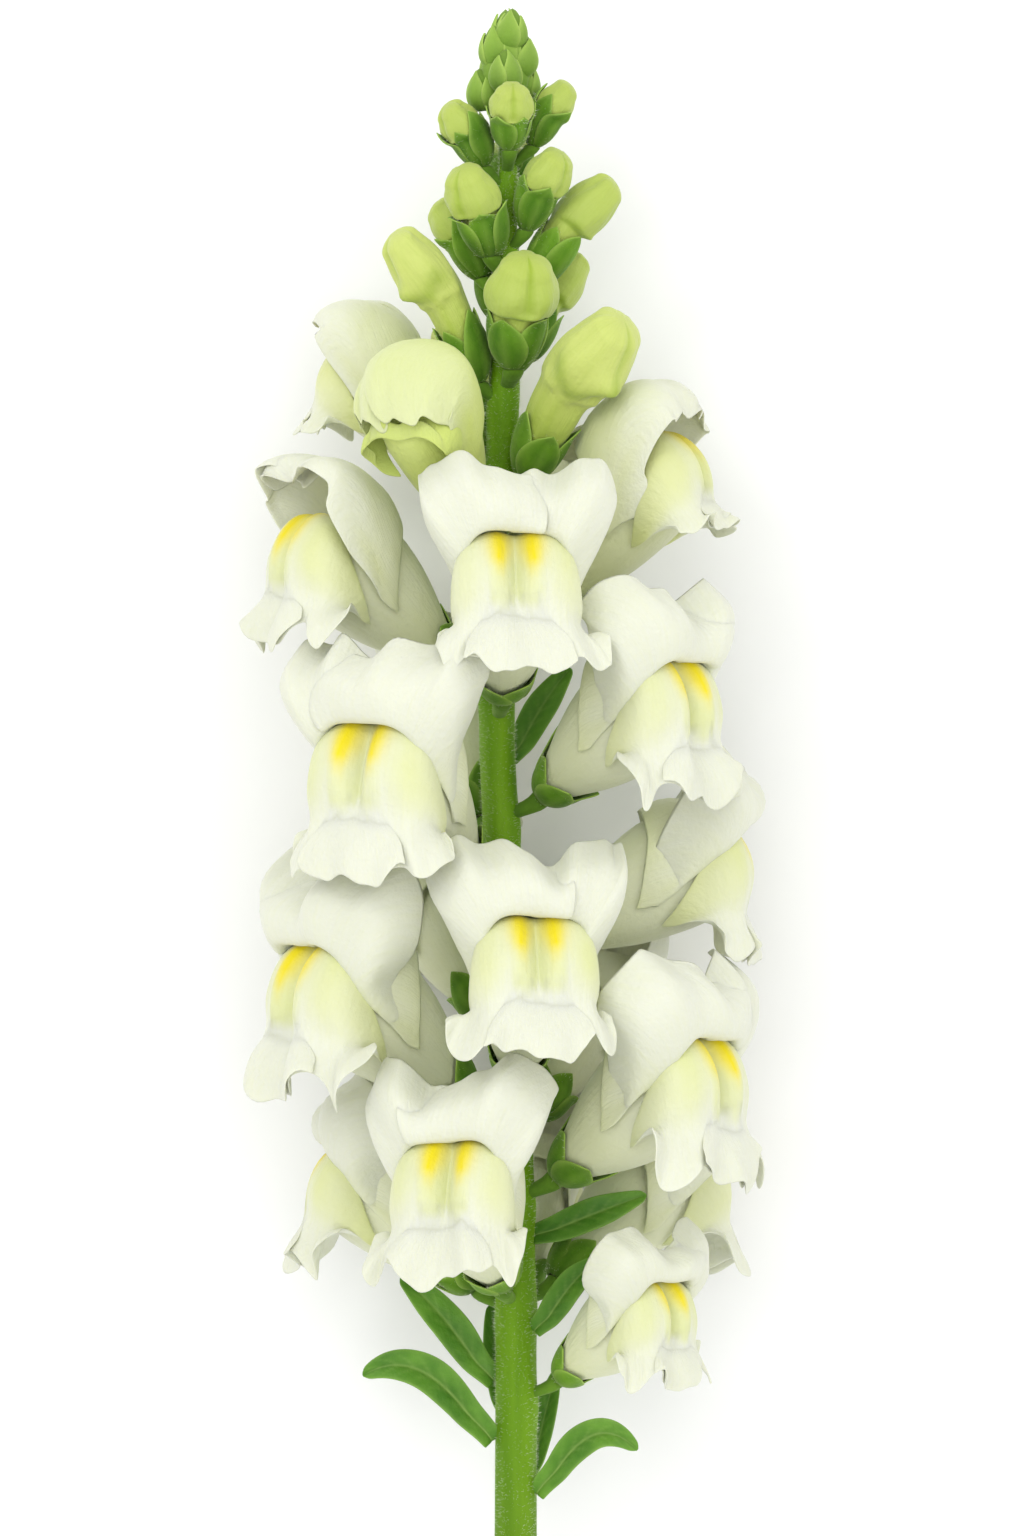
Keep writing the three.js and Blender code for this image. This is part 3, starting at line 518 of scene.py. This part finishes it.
def green_finish(name, dark, light, edge, roughness, scale, stretch, fuzz=0.0):
    """Living green: uneven along its growth, paler on painted edges and ribs, darker with painted shade in
    hollows and towards the stem's cut end.
    """
    made = Finish(name, roughness)
    tone = made.node("ShaderNodeAttribute", attribute_name="tone").outputs["Color"]
    parts = made.node("ShaderNodeSeparateColor")
    made.links.new(tone, parts.inputs[0])
    pale, deep = parts.outputs[:2]
    grain = made.noise("Object", scale, stretch, 4.0)
    base = made.ramp(grain, [(0.3, dark), (0.72, light)])
    base = made.blend(pale, base, edge)
    # deep: painted shade in hollows, and on the stem a darkening towards its cut end
    base = made.blend(deep, base, (*(c * 0.45 for c in dark[:3]), 1))
    made.put(made.shader.inputs["Base Color"], base)
    made.shader.inputs["Specular IOR Level"].default_value = 0.2
    made.shader.inputs["Sheen Weight"].default_value = fuzz
    made.shader.inputs["Sheen Roughness"].default_value = 0.4
    made.shader.inputs["Sheen Tint"].default_value = DOWNY_SHEEN
    made.soft(0.1, SKIN_DEPTH, (1.0, 1.0, 0.4))
    made.bump(made.sum("ADD", grain, made.noise("Object", 1400, detail=2.0)), 0.5, 0.0003)
    return made.material


# ---- Corolla -------------------------------------------------------------------------------------
def tube_at(profile, s, angle, grow=0.0):
    """A point on a tube: s from the calyx to the mouth, angle from the back, pushed out by grow."""
    back_z, back_y, belly_z, belly_y, half = through(profile, s)
    deep = math.hypot(back_z - belly_z, back_y - belly_y) / 2
    across = math.cos(angle) * (deep + grow) / deep
    return (
        (half + grow) * math.sin(angle),
        (back_y + belly_y) / 2 + (back_y - belly_y) / 2 * across,
        (back_z + belly_z) / 2 + (back_z - belly_z) / 2 * across,
    )


def tube_skin(profile, faces, place, front, ripple, tone, start, dome=5):
    """A tube closed at its foot, its front rounded over the last dome rows."""
    across, along = faces

    def point(u, v):
        row = round(v * along)
        angle = math.pi * u
        if row == 0:
            return place(mix(tube_at(profile, start, 0), tube_at(profile, start, math.pi), 0.5))
        s = min(1.0, start + (1 - start) * (row - 1) / (along - dome - 1))
        x, y, z = tube_at(profile, s, angle, ripple(s, angle))
        if row > along - dome:
            middle = mix(tube_at(profile, 1, 0), tube_at(profile, 1, math.pi), 0.5)
            bend = (row - (along - dome)) / dome * math.pi / 2
            x, y, z = mix(middle, (x, y, z), math.cos(bend))
            out = mix((0, 0, 0), tuple(f - m for f, m in zip(front, middle)), math.sin(bend))
            x, y, z = x + out[0], y + out[1], z + out[2]
        return place((x, y, z))

    return wrap_skin(across, along, point, tone)


class Lip:
    """A lip's own surface, from its stations shut and open."""

    def __init__(self, shut, opened, spec):
        self.open = spec["open"]
        self.seed = spec["seed"]
        self.stations = [
            [mix(a, b, self.open) for a, b in zip(low, high)] for low, high in zip(shut, opened)
        ]
        self.rows = {}

    def at(self, u, v):
        if v not in self.rows:
            half = [through(station, v) for station in self.stations]
            self.rows[v] = [(-x, y, z) for x, y, z in reversed(half[1:])] + half
        x, y, z = through(self.rows[v], (u + 1) / 2)
        wave = RUFFLE * smooth((v - 0.35) / 0.65) * (0.4 + 0.6 * self.open)
        turn = self.seed * 2.4 + u * 9.5
        side = 1.03 + 0.13 * math.sin(self.seed * 1.7 + (2.1 if u > 0 else 0)) * abs(u) * v
        roll = ROLL * math.sin(self.seed * 3.1) * u * v
        return x * side, y + roll + wave * 0.8 * math.sin(turn), z + wave * math.cos(turn * 1.3 + self.seed)


def bloom(spec):
    """One open or opening flower: tube, upper lip, lower lip and the middle lobe that covers its sides."""
    rise = placer(spec)
    luck = random.Random(spec["seed"])
    phase = [luck.uniform(0, 2 * math.pi) for _ in range(8)]
    side = 1 if spec["turn"] + spec["yaw"] < 0 else -1
    reach_over = 0.12 + 0.3 * abs(math.sin(math.radians(spec["turn"] + spec["yaw"]))) + luck.uniform(0, 0.1)
    tint = 0.7 * (1 - spec["open"])
    young = smooth(1 - 2.5 * spec["open"])
    upper = Lip(UPPER_SHUT, UPPER_HOOD if "hood" in spec else UPPER_OPEN, spec)
    lower = Lip(LOWER_SHUT, LOWER_OPEN, spec)

    fine = clamp(1.3 - abs(spec["turn"]) / TURN_FADE, 0.5, 1)

    def fewer(faces):
        """Flowers turned away from the front are cut into fewer faces."""
        return [round(count * fine) for count in faces]

    def place(p):
        return settle(rise(p))

    def crimp(u, v, start):
        """Small uneven waves that grow towards a margin."""
        waves = 0.85 * math.sin(u * 14 + phase[0]) + 0.45 * math.sin(u * 25 + phase[2])
        waves += 0.14 * math.sin(u * 43 + phase[5])
        return waves * smooth((v - start) / (1 - start)) * (0.7 + 0.3 * spec["open"])

    def upper_lobe(sign):
        """One of the two lobes of the upper lip; one of them reaches over the other past the middle."""
        ahead = sign == side
        past = reach_over if ahead else 0.03

        def spot(a, b):
            v = UPPER_FROM + (1 - UPPER_FROM) * b
            w = (a + 1) / 2
            extra = past * math.sin(math.pi * clamp((v - 0.3) / 0.78)) ** 0.7
            return sign * (w * (1 + extra) - extra), v, w

        def point(a, b):
            u, v, w = spot(a, b)
            x, y, z = upper.at(u, v)
            free = smooth((v - 0.5) / 0.45) * spec["open"]
            inner = hump(w, 0.14) * free
            step = (0.9 if ahead else -0.9) * (1 - smooth((w - 0.2) / 0.4)) * smooth((v - 0.32) / 0.2)
            puff = 0.8 * hump(w - 0.4, 0.26) * hump(v - 0.68, 0.2) * spec["open"]
            crease = 0.16 * math.sin(u * 17 + 5 * v + phase[1]) * smooth((v - 0.3) / 0.3)
            dents = 1.3 * hump(w - 0.35 - 0.3 * v, 0.09) + 0.9 * hump(w - 0.8 + 0.2 * v, 0.08)
            crease -= young * dents * smooth(v * 2.4 - 0.6)
            wave = 1.25 * crimp(u * 1.5, v, 0.6) * smooth((1 - abs(u)) * 4)
            droop = young * smooth((v - 0.35) / 0.65) * (3.2 * hump(u - 0.35, 0.5) - 0.6)
            flap = 0.0 if ahead else young * smooth((v - 0.45) / 0.55)
            y += wave - 2.3 * inner - droop - 1.6 * flap
            x += sign * 2.0 * flap - 0.12 * young * v * x
            return place((x, y, z - 0.9 * inner + step + puff + crease + 0.9 * wave))

        def tone(a, b):
            u, v, w = spot(a, b)
            # painted shade: a cream band where the upper lip folds over the mouth
            mouth_shade = 0.35 * hump(v - 0.42, 0.1) * hump(u, 0.6)
            # cheek: the flank's cream, partly painted shade inside the hood's side
            cheek_cream_and_shade = 0.35 * smooth((w - 0.7) / 0.15) * hump(v - 0.5, 0.3)
            cream_and_shade = clamp(0.6 - 1.25 * v) + mouth_shade + cheek_cream_and_shade + tint * (1.1 - v)
            return 0, clamp(cream_and_shade), 0.4 * clamp(0.3 - v)

        return lay_sheet(*fewer(UPPER_FACES), point, tone)

    def tongue_bottom(x):
        return 15.4 + 0.3 * (abs(x) - 2.5) ** 2

    def lower_form(u, v):
        x, y, z = lower.at(u, v)
        front = smooth((v - 0.2) / 0.15)
        groove = hump(x, 0.85) * smooth((v - 0.15) / 0.2) * (1 - smooth((v - 0.5) / 0.12))
        bottom = tongue_bottom(x)
        tongue = smooth((abs(x) - 0.4) / 0.9) * (1 - smooth((abs(x) - 4.0) / 1.3))
        tongue *= smooth((y - bottom) / 1.1)
        pleat = 0.5 * hump(abs(u) - 0.42, 0.1) * smooth((v - 0.6) / 0.25)
        wave = crimp(u + 0.4, v, 0.72) * (1 - 0.9 * young)
        swell = 0.85 * tongue * front - 1.1 * groove - pleat
        crest = 1.0 * hump(x, 1.8) * (1 - smooth((v - 0.1) / 0.2))
        return x, y + 0.3 * swell + 0.7 * wave + crest, z + swell + 0.7 * wave + crest

    def lower_point(u, v):
        return place(lower_form(u, LOWER_SHOWS + (1 - LOWER_SHOWS) * v))

    def lower_tone(u, v):
        v = LOWER_SHOWS + (1 - LOWER_SHOWS) * v
        x, y, z = lower.at(u, v)
        up = clamp((y - 20) / 8)
        spot = hump(abs(x) - 3.1, 0.5 + 1.9 * up) * smooth(up * 1.7 - 0.35)
        spot += 0.3 * hump(abs(x) - 3, 0.5) * smooth(up * 3)
        tongue = 0.7 * smooth((5.2 - abs(x)) / 0.9) * smooth((y - tongue_bottom(x)) / 1.6) * smooth(v * 5)
        # cheek: the palate's cream, stronger on its sides, partly painted shade
        cheek_cream_and_shade = 0.45 * (1 - smooth((v - 0.34) / 0.28))
        cheek_cream_and_shade += 0.35 * hump(abs(x) - 9.5, 2.6) * (1 - smooth((v - 0.45) / 0.25))
        cream_and_shade = max(cheek_cream_and_shade, tongue) + tint * (1.2 - v) + 0.6 * young
        return clamp(spot * (1 - 0.6 * tint)), clamp(cream_and_shade), 0.25 * clamp(0.3 - v) + 0.25 * young

    def middle_point(u, v):
        """The middle lobe parts from the lower lip at the palate's foot and lies over the side lobes."""
        x, y, z = lower_form(fan(u, v), 0.5 + 0.5 * v)
        free = smooth((v - 0.3) / 0.7)
        wave = 0.7 * math.sin(u * 6.5 + phase[3]) + 0.45 * math.sin(u * 13 + phase[6])
        wave += 0.25 * math.sin(u * 23)
        wave *= free * spec["open"]
        raised = -0.16 + 1.5 * smooth((v - 0.12) / 0.9) + 0.45 * free * math.cos(u * 9 + phase[4])
        return place((x * (1 + 0.05 * free), y + wave + 0.2 * raised - 1.4 * free * (1 - u * u), z + raised))

    def fan(u, v):
        return u * 0.42 * (0.6 + 0.4 * smooth((v - 0.1) / 0.5))

    def middle_tone(u, v):
        return lower_tone(fan(u, v), (0.4 + 0.5 * v) / 0.9)

    def ripple(s, angle):
        groove = 0.5 * hump(abs(angle) - math.pi, 0.3) * smooth(s * 2)
        return 0.12 * math.cos(6 * angle + 1) * smooth(s * 3) - groove

    def tube_tone(u, v):
        return 0, clamp(0.6 - 0.6 * v + tint), clamp(0.45 - 2.2 * v) + 0.15 * tint

    sheets = [upper_lobe(-1), upper_lobe(1), lay_sheet(*fewer(LOWER_FACES), lower_point, lower_tone)]
    if young < 0.5:
        sheets.append(lay_sheet(*fewer(MIDDLE_FACES), middle_point, middle_tone))
    petals = join("petals", sheets)
    thicken(petals, PETAL_THICK)
    tube = tube_skin(TUBE, TUBE_FACES, place, TUBE_FRONT, ripple, tube_tone, FOOT)
    whole = join("corolla", [petals, tube])
    soften(whole)
    return whole


# ---- Buds ----------------------------------------------------------------------------------------
def bud_profile(spec):
    """Side profile of a bud: a slim tube that widens into a hooded head, nodding outwards."""
    long, head = spec["long"], spec["head"]
    profile = []
    for t, back_share, belly_share in BUD_FORM:
        z, y = t * long * (0.5 + 0.22 * t), t * long * (0.86 - 0.14 * t)
        back, belly = back_share * head, belly_share * head
        tilt = math.radians(58 - 26 * t)
        sin, cos = math.sin(tilt), math.cos(tilt)
        profile.append((z - sin * back, y + cos * back, z + sin * belly, y - cos * belly, (back + belly) / 2))
    return profile


def closed_bud(spec, number):
    """A bud: its hood folded down over the rest, in two lobes, with a scalloped edge."""
    place = placer(spec)
    profile = bud_profile(spec)
    head = spec["head"]
    back_z, back_y, belly_z, belly_y, radius = profile[-1]
    front = (0, (back_y + belly_y) / 2 + radius * 0.4, (back_z + belly_z) / 2 + radius * 0.5)
    grown = smooth((spec["long"] - 22) / 8)

    def edge(angle):
        scallop = 0.025 * math.cos(3 * angle + number) - 0.05 * hump(abs(angle) - 2.3, 0.4)
        return 0.6 + 0.13 * grown + scallop

    def ripple(s, angle):
        facing = smooth((abs(angle) - 0.8) / 0.8)
        hood = smooth((s - edge(angle)) / 0.05)
        under = hump(s - edge(angle) + 0.045, 0.04)
        middle = hump(abs(angle) - math.pi, 0.17) * smooth((s - 0.62) / 0.08)
        fold = hump(abs(angle) - 0.9, 0.13) * smooth((s - 0.7) / 0.2)
        crumple = math.sin(6 * angle + 11 * s + number) + 0.7 * math.sin(11 * angle - 17 * s)
        ribs = math.cos(5 * angle + number) * (1 - hood) * smooth(s * 3)
        nose = (0.12 + 0.5 * grown) * hump(abs(angle) - math.pi, 0.3) * hump(s - edge(math.pi) - 0.05, 0.05)
        lips = 0.1 * hood * facing - 0.07 * under * facing - 0.2 * middle
        return head * (lips - 0.09 * fold + 0.045 * crumple * smooth((s - 0.3) / 0.3) + 0.03 * ribs + nose)

    def tone(u, v):
        angle, s = math.pi * u, min(1.0, 1.25 * v)
        facing = smooth((abs(angle) - 0.8) / 0.8)
        # under and seam: painted shade beneath the hood's edge and in the crease between its lobes
        under = hump(s - edge(angle) + 0.03, 0.05) * facing
        seam = hump(abs(angle) - math.pi, 0.12) * smooth((s - 0.62) / 0.1)
        streak = 0.2 * smooth(math.sin(9 * angle + number)) * (1 - v)
        cream_and_shade = 0.75 * clamp(1 - 2.0 * v) + 0.4 * under + 0.45 * seam + streak + 0.5 * (1 - grown) * v
        return 0, clamp(cream_and_shade), clamp(0.55 - 2.0 * v) + 0.15 * under + 0.25 * (1 - grown) * hump(v - 0.5, 0.3)

    bud = tube_skin(profile, BUD_FACES, place, front, ripple, tone, FOOT * 1.5, dome=8)
    soften(bud)
    return bud


# ---- Calyx and stalk -----------------------------------------------------------------------------
def sepal(profile, reach, number, place, luck):
    """One pointed sepal lying on the foot of a corolla."""
    middle = number * 2 * math.pi / 5
    lift = 0.3 if number % 2 else 0.0
    flare = luck.uniform(-0.1, 0.7)
    long = luck.uniform(1.0, 1.22)
    bend = luck.uniform(-0.14, 0.14)
    belly = 0.9 * hump(reach, 0.8)

    def point(u, v):
        width = math.radians(72) * (0.6 + 1.7 * v) * (1 - v) ** 1.02
        rib = 0.25 * hump(u, 0.2) * (1 - v)
        wave = 0.1 * math.sin(9 * v + 3 * u + number) * abs(u)
        grow = 0.42 + lift + rib - 0.25 * u * u * (1 - v) + wave
        grow += belly * math.sin(math.pi * clamp(1.25 * v)) + flare * v**4 - 0.7 * (1 - smooth(v * 6))
        return place(tube_at(profile, v * reach * long, middle + u * width + bend * v, grow))

    def tone(u, v):
        rib = 0.3 * hump(u, 0.1) * (1 - v)
        return clamp(0.5 * abs(u) ** 4 + 0.3 * smooth((v - 0.8) / 0.2) + rib), 0.5 * (1 - v) ** 2, 0

    return lay_sheet(*SEPAL_FACES, point, tone)


def stalk(profile, spec, place):
    """A flower stalk from inside the stem, widening into the floor of the calyx."""
    around = math.radians(spec["turn"])
    outward = Vector((math.sin(around), 0, math.cos(around)))
    across, along = STALK_FACES
    half = across // 2
    foot = [place(tube_at(profile, 0, math.pi * k / half, GAP + SEPAL + 0.1)) for k in range(-half, half)]
    middle = sum(foot, Vector()) / len(foot)
    neck = middle - outward * 1.1 - Vector((0, 1.5, 0))
    root = neck + outward * (STALK_SINK - spec.get("out", CALYX_OUT)) - Vector((0, 2.4, 0))
    rings = [(root, 0.36), (root, 0.4), (mix(root, neck, 0.5), 0.38), (neck, 0.5), (middle, 0.58)]
    rings.append((middle + outward * 0.4, 0.4))

    def point(u, v):
        row = round(v * along)
        ring = foot[round((u + 1) * half) % across]
        if row == 0:
            return Vector(root)
        if row == along:
            return middle + outward * 0.5
        centre, size = rings[row - 1]
        return Vector(centre) + (ring - middle) * size

    return wrap_skin(across, along, point, lambda u, v: (0.1, 0.3 * v, 0))


def calyx(profile, spec, reach, luck):
    place = placer(spec)
    sepals = [sepal(profile, reach, k, place, luck) for k in range(5)]
    return sepals, stalk(profile, spec, place)


# ---- Stem, tip and leaves ------------------------------------------------------------------------
def stem_surface(y, angle):
    """How far the stem's skin stands from its middle line: low ribs, and a swelling under each flower."""
    x, radius = stem_at(y)
    ribs = 0.1 * math.cos(4 * angle + y * 0.01) + 0.05 * math.cos(9 * angle - y * 0.02)
    swell = 0.0
    for spec in [*BLOOMS.values(), *BUDS.values()]:
        off = (angle - math.radians(spec["turn"]) + math.pi) % (2 * math.pi) - math.pi
        swell += 0.55 * hump(y - spec["y"] + 5.5, 3.2) * hump(off, 0.65)
    return radius + ribs + min(swell, 0.8)


def stem():
    across, along = STEM_FACES
    low, high = STEM[0][0], STEM[-1][0]

    def point(u, v):
        row = round(v * along)
        angle = math.pi * u
        cut = {0: (0.0, 0.35), 1: (0.45, 0.35), 2: (0.6, 0.0), 3: (0.94, 0.0)}
        if row in cut:
            share, inset = cut[row]
            y, radius = low + inset, stem_surface(low, angle) * share
        elif row == along:
            y, radius = high + 1, 0.0
        else:
            y = low + 0.2 + (high - low - 0.2) * (row - 4) / (along - 5)
            radius = stem_surface(y, angle)
        return (stem_at(y)[0] + math.sin(angle) * radius, y, STEM_LIFT + math.cos(angle) * radius)

    def tone(u, v):
        row = round(v * along)
        return 0.85 if row < 3 else 0.0, 0.5 * smooth((80 - v * (high - low)) / 70), 0.0

    return wrap_skin(across, along, point, tone)


def small_bud(foot, top, radius, turn, luck, sepal_count=4):
    """A green bud wrapped in its pointed sepals."""
    foot, top = Vector(foot), Vector(top)
    axis = top - foot
    side = axis.orthogonal().normalized()
    other = axis.cross(side).normalized()

    def at(t, angle, grow):
        swell = radius * math.sin(math.pi * clamp(t) ** 0.8) ** 0.7 * (1 - 0.25 * t) + grow
        return foot + axis * t + side * math.cos(angle) * swell + other * math.sin(angle) * swell

    def core(u, v):
        return at(v, math.pi * u, 0)

    def leaf(number):
        middle = turn + number * 2 * math.pi / sepal_count
        lift = 0.12 + 0.2 * (number % 2)
        reach = luck.uniform(0.78, 0.94)

        def point(u, v):
            width = 1.15 * (0.66 + 1.6 * v) * (1 - v) ** 0.85
            return at(0.05 + reach * v, middle + u * width, lift + 0.18 * hump(u, 0.3) - 0.12 * u * u)

        def tone(u, v):
            return clamp(0.2 + 0.5 * abs(u) ** 3 + 0.4 * v), 0.3 * (1 - v), 0

        return lay_sheet(*SEPAL_FACES, point, tone)

    sepals = [leaf(k) for k in range(sepal_count)]
    return sepals, wrap_skin(*CORE_FACES, core, lambda u, v: (0.45 * v, 0.3, 0))


def growing_tip(luck):
    buds = [small_bud((0, 271, STEM_LIFT), (-0.3, 290.8, STEM_LIFT), 4.7, 0.4, luck, 5)]
    for k in range(TIP_BUDS):
        around = k * WINDING + 0.5
        reach = 2.1 + k * 0.42
        sin, cos = math.sin(around), math.cos(around)
        y = 281.6 - k * 1.6
        foot = (sin * (reach - 1), y, STEM_LIFT + cos * (reach - 1))
        top = (sin * (reach + 0.2), y + 8.8, STEM_LIFT + cos * (reach + 0.2))
        buds.append(small_bud(foot, top, 3.3, around, luck))
    return buds


def leaf_width(t):
    if t > 0.995:
        return 0.02
    return 0.22 + 0.78 * math.sin(math.pi * (0.12 + 0.88 * t)) ** 0.8


def leaf(spec, number):
    """A lance-shaped leaf, folded at its midrib, with a low wave along its edges."""
    start, end = (Vector((p[1], p[0], p[2])) for p in (spec["root"], spec["tip"]))
    middle = start.lerp(end, 0.5) + Vector((0, *spec["arch"]))
    axis = Vector((stem_at(spec["root"][0])[0], 0, STEM_LIFT))
    inward = Vector((-start.x, 0, -start.z)).normalized() * 1.4

    def point(u, v):
        t = v
        spine = start * (1 - t) ** 2 + middle * 2 * t * (1 - t) + end * t * t
        along = ((middle - start) * (1 - t) + (end - middle) * t).normalized()
        outward = Vector((spine.x, 0, spine.z)).normalized()
        up = Vector((0, 0.2, 0.8)) - outward * 0.2
        across = along.cross(up).normalized()
        fold = across.cross(along).normalized()
        half = spec["wide"] / 2 * leaf_width(t)
        wave = 0.22 * math.sin(t * 15 + number + (1.5 if u > 0 else 0)) * abs(u) ** 1.5
        groove = -0.2 * hump(u, 0.12) * (1 - t)
        raised = abs(u) * half * 0.3 - half * 0.1 * u * u + wave + groove
        return spine + across * u * half + fold * raised + axis + inward * (1 - smooth(t * 6))

    def tone(u, v):
        veins = 0.22 * max(0, math.sin(v * 46 - abs(u) * 9)) ** 4 * (1 - abs(u))
        return clamp(0.7 * hump(u, 0.09) * (1 - v * 0.7) + veins + 0.35 * abs(u) ** 8), 0.3 * hump(u, 0.3), 0

    piece = lay_sheet(*LEAF_FACES, point, tone)
    thicken(piece, LEAF_THICK)
    soften(piece)
    return piece


# ---- Down ----------------------------------------------------------------------------------------
def down(name, roots):
    """Fine hairs, each a thin three-sided spike. roots holds place, direction and length."""
    corners, faces = [], []
    for place, direction, length in roots:
        direction = direction.normalized()
        side = direction.orthogonal().normalized()
        other = direction.cross(side)
        first = len(corners)
        for k in range(3):
            angle = k * 2 * math.pi / 3
            ring = side * math.cos(angle) + other * math.sin(angle)
            corners.append(world(place - direction * HAIR_ROOT + ring * HAIR_RADIUS))
        corners.append(world(place + direction * length))
        sides = ((0, 1, 3), (1, 2, 3), (2, 0, 3), (2, 1, 0))
        faces += [tuple(first + k for k in side) for side in sides]
    mesh = bpy.data.meshes.new(name)
    mesh.from_pydata(corners, [], faces)
    piece = bpy.data.objects.new(name, mesh)
    bpy.context.scene.collection.objects.link(piece)
    return piece


def stem_down(luck):
    roots = []
    for _ in range(STEM_HAIRS):
        y = luck.uniform(STEM[0][0] + 1, STEM[-1][0])
        angle = luck.uniform(-math.pi, math.pi)
        outward = Vector((math.sin(angle), 0, math.cos(angle)))
        place = Vector((stem_at(y)[0], y, STEM_LIFT)) + outward * stem_surface(y, angle)
        bend = Vector((luck.uniform(-0.4, 0.4), luck.uniform(-0.2, 0.6), luck.uniform(-0.4, 0.4)))
        roots.append((place, outward + bend, luck.uniform(0.35, 0.8)))
    return roots


def calyx_down(profile, spec, reach, luck):
    place = placer(spec)
    roots = []
    for _ in range(CALYX_HAIRS):
        s = luck.uniform(0, reach)
        angle = luck.uniform(-math.pi, math.pi)
        skin = place(tube_at(profile, s, angle, 0.75))
        outer = place(tube_at(profile, s, angle, 1.75))
        roots.append((skin, outer - skin + Vector((0, luck.uniform(0, 0.5), 0)), luck.uniform(0.4, 0.8)))
    return roots


# ---- Putting the stem together -------------------------------------------------------------------
petal_white = petal_finish(
    "petal_white", colour(215, 217, 200), colour(208, 213, 148), colour(188, 200, 106)
)
petal_green = petal_finish(
    "petal_opening", colour(208, 214, 166), colour(198, 210, 118), colour(168, 188, 68)
)
bud_green = petal_finish(
    "bud_yellow_green", colour(192, 203, 112), colour(150, 174, 50), colour(104, 140, 26)
)
stem_green = green_finish(
    "stem_green", colour(86, 130, 10), colour(126, 170, 30), colour(196, 216, 146),
    0.6, 14, (14, 1, 14), 0.2,
)
sepal_green = green_finish(
    "sepal_green", colour(58, 100, 14), colour(104, 148, 36), colour(168, 198, 96),
    0.8, 160, (1, 0.6, 1), 0.35,
)
leaf_green = green_finish(
    "leaf_green", colour(58, 106, 26), colour(102, 148, 52), colour(158, 190, 100),
    0.42, 110, (1, 1, 1),
)
hair_white = Finish("hair_white", 0.45)
hair_white.shader.inputs["Base Color"].default_value = colour(236, 242, 214)
hair_white = hair_white.material

for name, spec in BLOOMS.items():
    corolla = bloom(spec)
    corolla.name = corolla.data.name = f"corolla_{name}"
    opening = spec["open"] < OPENING_UNDER
    finish = petal_green if opening else petal_white
    dress(corolla, finish, f"bloom_{name}")

for number, (name, spec) in enumerate(BUDS.items()):
    bud = closed_bud(spec, number)
    bud.name = bud.data.name = f"closed_bud_{name}"
    dress(bud, bud_green, f"bud_{name}")

for number, (name, spec) in enumerate(LEAVES.items()):
    blade = leaf(spec, number)
    blade.name = blade.data.name = f"blade_{name}"
    dress(blade, leaf_green, f"leaf_{name}")

luck = random.Random(4)
sepals, tip_sepals, stalks, hairs = [], [], [], stem_down(luck)
for spec in BLOOMS.values():
    made, foot = calyx(TUBE, spec, BLOOM_COVERED, luck)
    sepals += made
    stalks.append(foot)
    hairs += calyx_down(TUBE, spec, BLOOM_COVERED, luck)
for spec in BUDS.values():
    profile = bud_profile(spec)
    reach = min(MOST_COVERED, SEPAL_LONG / spec["long"])
    made, foot = calyx(profile, spec, reach, luck)
    sepals += made
    stalks.append(foot)
    hairs += calyx_down(profile, spec, reach, luck)
for made, core in growing_tip(luck):
    tip_sepals += made
    stalks.append(core)

for name, leaves in (("calyces", sepals), ("tip_sepals", tip_sepals)):
    greens = join(name, leaves)
    thicken(greens, SEPAL_THICK)
    soften(greens)
    dress(greens, sepal_green, "leafy_stem")

greens = join("green_stalks", stalks)
soften(greens)
dress(greens, sepal_green, "leafy_stem")

main_stem = stem()
soften(main_stem)
main_stem.name = main_stem.data.name = "main_stem"
dress(main_stem, stem_green, "leafy_stem")

dress(down("fine_hairs", hairs), hair_white, smooth_all=False)

# ---- Table, light and camera ---------------------------------------------------------------------
deselect()
bpy.ops.mesh.primitive_plane_add(size=8, location=(0, 0, -0.0002))
table = bpy.context.object
table.name = "table_top"
table_white = Finish("table_white", 0.8)
table_white.shader.inputs["Base Color"].default_value = (0.93, 0.93, 0.93, 1)
table.data.materials.append(table_white.material)

world_light = bpy.data.worlds.new("soft_room")
bpy.context.scene.world = world_light
world_light.use_nodes = True
world_light.node_tree.nodes["Background"].inputs[0].default_value = (1, 1, 1, 1)
world_light.node_tree.nodes["Background"].inputs[1].default_value = 1.0


def lamp(name, place, target, size, power):
    light = bpy.data.lights.new(name, "AREA")
    light.shape = "DISK"
    light.size = size
    light.energy = power
    made = bpy.data.objects.new(name, light)
    made.location = place
    made.rotation_euler = (Vector(target) - Vector(place)).to_track_quat("-Z", "Y").to_euler()
    bpy.context.scene.collection.objects.link(made)


lamp("soft_light", (-0.1, 0.25, 1.8), (0, 0, 0.03), 1.2, 7.0)
lamp("key_light", (-0.7, 0.75, 1.3), (0, 0, 0.03), 0.5, 3.9)
lamp("fill_light", (0.9, -0.2, 1.2), (0, 0, 0.03), 1.0, 2.4)

view = bpy.data.cameras.new("camera")
view.sensor_fit = "VERTICAL"
view.sensor_height = 36
view.lens = 36 * CAMERA_HEIGHT / FRAME_TALL
view.clip_end = 20
camera = bpy.data.objects.new("camera", view)
camera.location = (FRAME_X * MM, FRAME_Y * MM, CAMERA_HEIGHT + STEM_LIFT * MM)
bpy.context.scene.collection.objects.link(camera)
bpy.context.scene.camera = camera
bpy.context.scene.view_settings.view_transform = "Standard"
